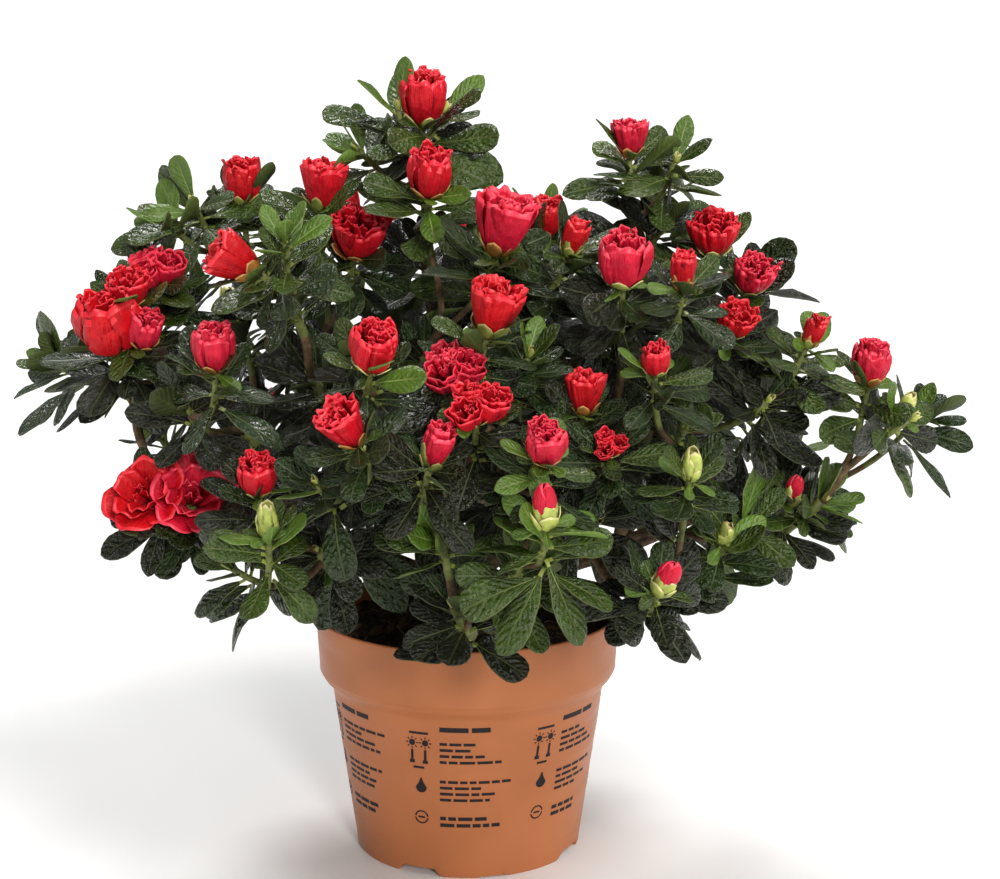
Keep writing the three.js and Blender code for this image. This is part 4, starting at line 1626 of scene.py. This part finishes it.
@dataclass
class Crown:
    """Twigs, whorls of leaves and flowers of the whole plant.

    Fields: least spacing of shoots outside and inside; how far they stand under the masses' skin;
    places that are tried; share of flowers at the back; least height of a leaf's tip; least height
    of a shoot far out, its growth towards the middle and the radius where that starts; range of
    stems in mm, of numbers of leaves, of their lengths, and of half widths to the length; mean
    length and its deviation in mm; room round a flower's middle.
    """

    limbs: Limbs
    seed: int = 7
    spacing: float = 28.5 * MM
    inner_spacing: float = 38 * MM
    sunk: float = 25 * MM
    samples: int = 9000
    flowering: float = 0.38
    lowest: float = 101 * MM
    clearance: tuple[float, float, float] = (0.130, 0.38, 0.12)
    stems: tuple[float, float] = (18.0, 28.0)
    leaf_counts: tuple[int, int] = (13, 18)
    leaf_limits: tuple[float, float] = (17 * MM, 45 * MM)
    leaf_halves: tuple[float, float] = (0.18, 0.242)
    leaf_length: tuple[float, float] = (33.5, 4.5)
    bloom_gap: float = 5 * MM
    shoots: list[Shoot] = field(default_factory=list)
    skeleton: Skeleton = field(default_factory=Skeleton)
    leaves: LeafBed = field(default_factory=lambda: LeafBed(
        "leaves", "foliage", (0.0, 0.09, 0.20, 0.34, 0.50, 0.66, 0.80, 0.90, 0.965, 1.0),
        (-1.0, -0.95, -0.5, -0.05, 0.05, 0.5, 0.95, 1.0), 3))
    petals: PetalBed = field(default_factory=lambda: PetalBed(
        "petals", "petals", (0.0, 0.14, 0.34, 0.56, 0.76, 0.91, 1.0),
        (-1.0, -0.84, -0.63, -0.42, -0.21, 0.0, 0.21, 0.42, 0.63, 0.84, 1.0), thickness=0.22 * MM))
    folds: PetalBed = field(default_factory=lambda: PetalBed(
        "folds", "petals", (0.0, 0.36, 0.62, 0.82, 0.94, 1.0), np.linspace(-1.0, 1.0, 7)))
    scales: PetalBed = field(default_factory=lambda: PetalBed(
        "scales", "buds", (0.0, 0.14, 0.45, 0.74, 0.90, 1.0), (-1.0, -0.6, 0.0, 0.6, 1.0),
        thickness=0.35 * MM))

    def __post_init__(self) -> None:
        """Takes the masses and the plant's box from the frame."""
        self.masses = node_names("foliage_")
        self.near, self.far = (np.array(corner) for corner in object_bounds())

    def region(self, mass: str) -> str:
        """The group that a mass's leaves are joined into, from the first word of its name."""
        word = mass.removeprefix("foliage_").split("_")[0]
        return "high" if word == "top" else word

    def place_heads(self) -> None:
        """Puts the shoots of the named heads on the fronts of their masses."""
        for name, heads in HEADS.items():
            low, high = (np.array(corner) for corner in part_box(f"foliage_{name}"))
            for number, head in enumerate(heads):
                depth = math.sqrt(max(0.0, 1.0 - head.across**2 - head.up**2))
                centre = (low + high) / 2.0 + (high - low) / 2.0 * (head.across, -depth, head.up)
                axis = unit(np.array([head.right, -head.front, 1.0]))
                tip = centre - axis * head.stage.half * head.size
                self.shoots.append(Shoot(tip, axis, head.stage, head.size, self.region(name),
                                         (*name.encode(), number), -float(head.fresh), head.leaves))

    def candidates(self) -> tuple[Array, Array]:
        """Seeded places on the outward faces of the masses, by area, and the masses' numbers."""
        meshes = [node_mesh(node) for node in self.masses]
        corners = np.concatenate([points[triangles] for points, triangles in meshes])
        owner = np.repeat(np.arange(len(meshes)), [len(triangles) for _, triangles in meshes])
        normal = np.cross(corners[:, 1] - corners[:, 0], corners[:, 2] - corners[:, 0])
        outward = (unit(normal) * unit(corners.mean(1) - HEART)).sum(1)
        weight = np.linalg.norm(normal, axis=1) * (outward > 0.35)
        picks = self.draw.choice(len(corners), self.samples, p=weight / weight.sum())
        parts = self.draw.dirichlet((1.0, 1.0, 1.0), self.samples)
        return np.einsum("kc,kcd->kd", parts, corners[picks]), owner[picks]

    def scatter(self, inner: bool) -> None:
        """Fills the crown with further shoots, none nearer to another than the spacing.

        Low down, shoots keep further off the pot the nearer they are to its middle.

        Args:
            inner: place them in the shaded inside in place of the outer shell.
        """
        self.draw = np.random.default_rng([self.seed, int(inner)])
        places, owners = self.candidates()
        if inner:
            tips = HEART + (places - HEART) * self.draw.uniform(0.42, 0.70, (len(places), 1))
        else:
            middles = np.array([np.add(*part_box(node)) / 2.0 for node in self.masses])
            sunk = self.sunk + 9 * MM * smooth((places[:, 2:] - 0.26) / 0.04)
            tips = places - unit(places - middles[owners]) * sunk
        spacing = self.inner_spacing if inner else self.spacing
        least, growth, inside = self.clearance
        taken = np.array([shoot.tip for shoot in self.shoots])
        for number, (tip, owner) in enumerate(zip(tips, owners)):
            if np.min(np.linalg.norm(taken - tip, axis=1)) < spacing:
                continue
            if tip[2] < least + growth * max(0.0, inside - math.hypot(tip[0], tip[1])):
                continue
            taken = np.vstack([taken, tip])
            seed = (int(inner), number)
            self.draw = np.random.default_rng([self.seed, *seed, 1])
            stage, size = self.pick_stage(tip, inner)
            axis = unit(0.75 * unit(tip - HEART) + 0.62 * UP + self.draw.normal(0.0, 0.20, 3))
            self.shoots.append(Shoot(tip, axis, stage, size, self.region(self.masses[owner]), seed,
                                     float(inner)))

    def pick_stage(self, tip: Array, inner: bool) -> tuple[Stage, float]:
        """A seeded stage and size: no further flowers where the named heads stand.

        Args:
            tip: place of the shoot.
            inner: whether it is inside the crown.

        Returns:
            The stage and the size factor.
        """
        chance, size = self.draw.uniform(), self.draw.uniform(0.8, 1.15)
        facing = tip[1] < 0.03 + 0.5 * abs(tip[0])
        share = 0.0 if facing else 0.03 if inner else self.flowering
        if chance > share * (0.4 if tip[2] < 0.16 else 1.0):
            return LEAFY, self.draw.uniform(0.85, 1.1)
        stages, odds = zip(*SCATTERED.items())
        return stages[self.draw.choice(len(stages), p=odds)], size

    def leaf(self, shoot: Shoot, base: Array, way: Array, length: float, bend: float, tint: int,
             slim: float) -> None:
        """Puts one leaf of a shoot, its upper side turned to the shoot's tip and to the light.

        A leaf that would leave the plant's box is turned along the box's side.  Low leaves end
        higher to the left of the middle, so that the soil shows there.

        Args:
            shoot: the shoot that bears it.
            base: foot of its stalk.
            way: direction that it starts in.
            length: stalk and blade together.
            bend: turn away from its face over its length, radians.
            tint: number of its tone.
            slim: factor on its width.
        """
        draw = self.draw
        out = unit((base - HEART) * (1.0, 1.0, 0.0))
        light = 0.2 + 0.4 * abs(out[0]) * float(smooth((0.06 - base[1]) / 0.08))
        face = shoot.axis * 0.7 + UP * 0.6 + out * 0.55 + LIGHT_SIDE * light + draw.normal(0.0, 0.32, 3)
        tip = base + (way - 0.42 * bend * unit(face)) * length
        reach = math.hypot(tip[0], tip[1]) - 66 * MM
        gap = 12 * MM * math.exp(-(((tip[0] + 0.050) / 0.036) ** 2)) if tip[1] < 0.0 else 0.0
        floor = self.lowest + gap + (0.28 * reach if reach > 0.0 else 18 * MM)
        over = np.maximum(tip - self.far, 0.0) + np.minimum(tip - (*self.near[:2], floor), 0.0)
        half = length * draw.uniform(*self.leaf_halves) * slim
        roll, fold = draw.normal(0.0, 0.35), draw.uniform(0.05, 0.34)
        self.leaves.note(shoot.group, tint, base, unit(way - 1.3 * over / length), face, length, half,
                         bend, roll, fold, draw.uniform(0.0, 6.28), draw.uniform(0.42, 0.74))

    def covers(self, shoot: Shoot, base: Array, way: Array, length: float) -> bool:
        """Whether a leaf would grow through a flower or into the round channel kept free before it.

        Args:
            shoot: the shoot that bears it.
            base: foot of its stalk.
            way: its direction.
            length: its length.

        Returns:
            True if it would.
        """
        middle, out, radius = self.blooms
        gap = (base + way * length * np.array([[0.5], [0.75], [1.0]]))[:, None] - middle
        gap = gap - out * np.clip((gap * out).sum(-1), 0.0, 45 * MM)[..., None]
        own = np.linalg.norm(middle - shoot.tip, axis=1) < 17 * MM
        return bool((np.linalg.norm(gap, axis=-1) < radius * np.where(own, 0.6, 1.0)).any())

    def whorl(self, shoot: Shoot) -> None:
        """The rosette under a shoot's tip: outer leaves long and level, inner ones short and upright.

        Args:
            shoot: the shoot that is dressed.
        """
        draw, up, front = self.draw, shoot.tip[2], -shoot.tip[1]
        flower = shoot.stage is not LEAFY
        count = shoot.leaves or int(draw.integers(*self.leaf_counts))
        inner_tilt = 42.0 if shoot.stage in BUDS else 54.0 if flower else 28.0
        high = float(np.clip((up - 0.22) / 0.12, 0.0, 1.0))
        low = float(smooth((0.19 - up) / 0.05) * smooth(front / 0.06))
        deep, mid = 0.56 - 0.30 * high - 0.46 * low, 0.10 + 0.30 * high + 0.42 * low
        tint = int(draw.choice([0, 1, 2], p=[deep, 1.0 - deep - mid, mid]))
        fresh = shoot.shade < 0.0 or draw.uniform() < (0.08 if flower else 0.22)
        # Shoots inside the crown take the next darker tone: painted shade.
        tint = 2 if shoot.shade < 0.0 else tint - int(shoot.shade)
        broad = 1.25 if 0 < shoot.leaves < 6 else 1.0 + 0.12 * float(smooth((0.20 - up) / 0.05))
        scale = (1.0 - 0.13 * smooth((front - 0.04) / 0.09)) * np.clip(shoot.size, 0.85, 1.1) * MM
        span = draw.uniform(13.0, 21.0) * MM
        start = draw.uniform(0.0, TURN)
        for number in range(count):
            part = number / (count - 1)
            turn = start + number * GOLDEN_ANGLE + draw.normal(0.0, 0.25)
            tilt = math.radians(98.0 - (98.0 - inner_tilt) * part**1.2 + draw.normal(0.0, 14.0))
            way = leaning(shoot.axis, turn, tilt)
            base = shoot.tip - shoot.axis * (span * (1.0 - part) ** 1.1 + 1.0 * MM) + way * 1.2 * MM
            length = draw.normal(*self.leaf_length) * (1.0 - (0.26 if flower else 0.42) * part**1.6) * scale
            sag = 0.20 * max(0.0, 1.0 - abs(way[2]))
            bend = draw.normal(0.20, 0.30) * (1.0 - 0.8 * part) + sag * (1.0 - part)
            shift = 0
            if part > 0.6:
                shift = int(draw.choice([0, 1, 2], p=[0.1, 0.4, 0.5] if fresh else [0.62, 0.30, 0.08]))
            if not self.covers(shoot, base, way, length):
                length = float(np.clip(length, *self.leaf_limits))
                tint_here = min(max(tint + shift, 0), len(LEAF_TONES) - 1)
                self.leaf(shoot, base, way, length, float(np.clip(bend, -0.3, 1.5)), tint_here, broad)

    def bracts(self, shoot: Shoot) -> None:
        """A few small fresh leaves close under a flower.

        Args:
            shoot: the shoot that is dressed.
        """
        draw = self.draw
        for number in range(int(draw.integers(3, 6))):
            turn = number * GOLDEN_ANGLE + draw.uniform(0.0, 1.0)
            way = leaning(shoot.axis, turn, math.radians(draw.uniform(58.0, 98.0)))
            length = draw.uniform(8.0, 14.5) * MM
            tint = int(draw.choice([2, 3], p=[0.45, 0.55]))
            base = shoot.tip + (way - shoot.axis) * 1.5 * MM
            self.leaf(shoot, base, way, length, draw.uniform(0.0, 0.5), tint, 1.15)

    def crumple(self, foot: Array, axis: Array, heart: Heart, size: float, tint: int) -> None:
        """Fills a flower's middle with folded petals at golden-angle places, each facing its own way.

        Args:
            foot: middle of the flower's foot.
            axis: its direction.
            heart: the petals' sizes.
            size: factor on every length.
            tint: number of the tint.
        """
        draw = self.draw
        for number in range(heart.count):
            turn = number * GOLDEN_ANGLE + draw.uniform(-0.3, 0.3)
            away = leaning(axis, turn) * math.sqrt((number + 0.5) / heart.count)
            way = unit(axis + heart.fan * away + draw.normal(0.0, 0.06, 3))
            place = foot + (away * heart.reach + axis * heart.lift) * size * MM
            lobe = Whorl(1, heart.length * draw.uniform(0.90, 1.08), heart.half, draw.uniform(1.0, 2.4),
                         (12, 4, draw.uniform(-24, 14)), 0.14, 0.9, 2.2, 0.6, 0.0, 0.3, curl=26)
            self.folds.put("all", place, way, lobe, size, tint, draw)

    def flower(self, shoot: Shoot) -> None:
        """The flower or the three flowers of a truss, the scales and the bracts.

        Args:
            shoot: the shoot that is dressed.
        """
        draw, stage = self.draw, shoot.stage
        tint = 2 if stage in BUDS else int(draw.choice([0, 1, 2], p=[0.30, 0.45, 0.25]))
        heads = [(shoot.tip, shoot.axis, shoot.size)]
        if stage is TRUSS:
            heads = []
            for number in range(3):
                side = leaning(shoot.axis, number * TURN / 3.0 + draw.uniform(-0.2, 0.2) + 0.5)
                heads.append((shoot.tip + side * 3.8 * MM * shoot.size, unit(shoot.axis + 0.34 * side),
                              shoot.size * draw.uniform(0.92, 1.06)))
        for foot, axis, size in heads:
            for group, whorl in zip(("outer", "inner"), FORMS.get(stage, ())):
                self.petals.put(group, foot, axis, whorl, size, tint, draw)
            if stage in HEARTS:
                self.crumple(foot, axis, HEARTS[stage], size, tint)
        green = stage in (*BUDS, LEAFY)
        size = shoot.size * (0.8 if stage is LEAFY else 1.0)
        for whorl in SCALES[stage]:
            husk = int(draw.choice([0, 1, 2], p=[0.05, 0.10, 0.85] if green else [0.55, 0.35, 0.10]))
            self.scales.put("all", shoot.tip, shoot.axis, whorl, size, husk, draw)
        if stage is not LEAFY:
            self.bracts(shoot)

    def grow(self) -> None:
        """Places every shoot, grows its stem inwards-out, and dresses it."""
        self.place_heads()
        self.scatter(inner=False)
        self.scatter(inner=True)
        self.skeleton.plant(self.limbs)
        flowers = [shoot for shoot in self.shoots if shoot.stage is not LEAFY]
        half = np.array([shoot.stage.half * shoot.size for shoot in flowers])
        middle = np.array([shoot.tip + shoot.axis * rise for shoot, rise in zip(flowers, half)])
        out = unit((middle - HEART) * (1.0, 1.0, 0.2) + LIGHT_SIDE * 0.08)
        self.blooms = middle, out, 0.55 * half + self.bloom_gap
        for shoot in sorted(self.shoots, key=lambda shoot: float(np.linalg.norm(shoot.tip - HEART))):
            self.draw = np.random.default_rng([self.seed, *shoot.seed])
            self.skeleton.grow(shoot.tip, shoot.axis, float(self.draw.uniform(*self.stems)) * MM)
            self.whorl(shoot)
            self.flower(shoot)
        log.info("crown: %d shoots, %d with flowers or buds", len(self.shoots), len(flowers))

    def build(self) -> None:
        """Grows the crown and makes its joined pieces."""
        self.grow()
        self.skeleton.build()
        replaced: dict[str, list[str]] = {}
        for node in self.masses:
            replaced.setdefault(self.region(node), []).append(node)
        silks = all_materials(SILKS)
        self.leaves.build(all_materials(LEAF_TONES), replaced)
        self.petals.build(silks, {})
        self.folds.build(silks, {})
        self.scales.build(all_materials(HUSKS), {})


# ---------------------------------------------------------------- studio


@dataclass
class Studio:
    """Pale floor, soft lights, even surroundings and the camera.

    A lamp has a name, the bearing that it stands on in degrees from +X towards +Y, its height over
    the floor in degrees, the degrees that its disc takes up, its watts to the square metre of a
    facing surface, and its tint: a wide key, a low one beside the camera, a high one behind.
    """

    camera_place: tuple[float, float, float] = (0.015, -1.0, 0.394)
    look_down: float = 11.45
    lens: float = 80.42
    floor_size: float = 400.0
    surroundings: float = 0.24
    lamps: tuple = (
        ("key", -50.0, 52.0, 24.0, 1.9, (1.0, 0.985, 0.96)),
        ("front", -74.0, 20.0, 10.0, 1.5, (1.0, 0.99, 0.97)),
        ("back", 105.0, 52.0, 16.0, 2.0, (1.0, 1.0, 1.0)),
    )

    def floor(self) -> None:
        """A large flat disc at the level that the pot stands on."""
        bpy.ops.mesh.primitive_circle_add(vertices=96, radius=self.floor_size, fill_type="NGON")
        disc = bpy.context.object
        disc.name = "floor"
        disc.data.materials.append(FLOOR_PAPER.shader().material)
        disc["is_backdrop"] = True

    def stand(self, name: str, data: bpy.types.ID, *turns: float) -> Piece:
        """Adds a lamp or camera, turned from looking straight down.

        Args:
            name: the object's name.
            data: its lamp or camera.
            turns: degrees about x, y and z.

        Returns:
            The object.
        """
        piece = bpy.data.objects.new(name, data)
        piece.rotation_euler = [math.radians(turn) for turn in turns]
        bpy.context.scene.collection.objects.link(piece)
        return piece

    def lights(self) -> None:
        """Soft lights so far off that they fall evenly on the whole floor."""
        for name, bearing, height, spread, power, colour in self.lamps:
            data = bpy.data.lights.new(name, "SUN")
            data.angle, data.energy, data.color = math.radians(spread), power, colour
            self.stand(name, data, 0.0, 90.0 - height, bearing)

    def world(self) -> None:
        """Even white surroundings."""
        scene = bpy.context.scene
        scene.world = bpy.data.worlds.new("surroundings")
        scene.world.use_nodes = True
        shade = scene.world.node_tree.nodes["Background"]
        shade.inputs["Color"].default_value = (1.0, 1.0, 1.0, 1.0)
        shade.inputs["Strength"].default_value = self.surroundings
        scene.view_settings.view_transform, scene.view_settings.look = "Standard", "None"

    def camera(self) -> None:
        """Stands the camera in front of the plant, a little above it and looking down."""
        data = bpy.data.cameras.new("camera")
        data.lens, data.sensor_width, data.clip_start, data.clip_end = self.lens, 36.0, 0.05, 1000.0
        camera = self.stand("camera", data, 90.0 - self.look_down, 0.0, 0.0)
        camera.location = self.camera_place
        bpy.context.scene.camera = camera

    def build(self) -> None:
        """Sets up everything round the plant."""
        self.floor()
        self.lights()
        self.world()
        self.camera()


def main() -> None:
    """Builds the plant round the frame, from the pot up."""
    logging.basicConfig(level=logging.INFO, format="%(message)s")
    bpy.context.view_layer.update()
    Studio().build()
    pot = Pot()
    pot.build()
    Print(pot).build()
    soil = Soil(pot)
    soil.build_bed()
    soil.build_bits()
    limbs = Limbs()
    limbs.build()
    Crown(limbs).build()


if __name__ == "__main__":
    main()
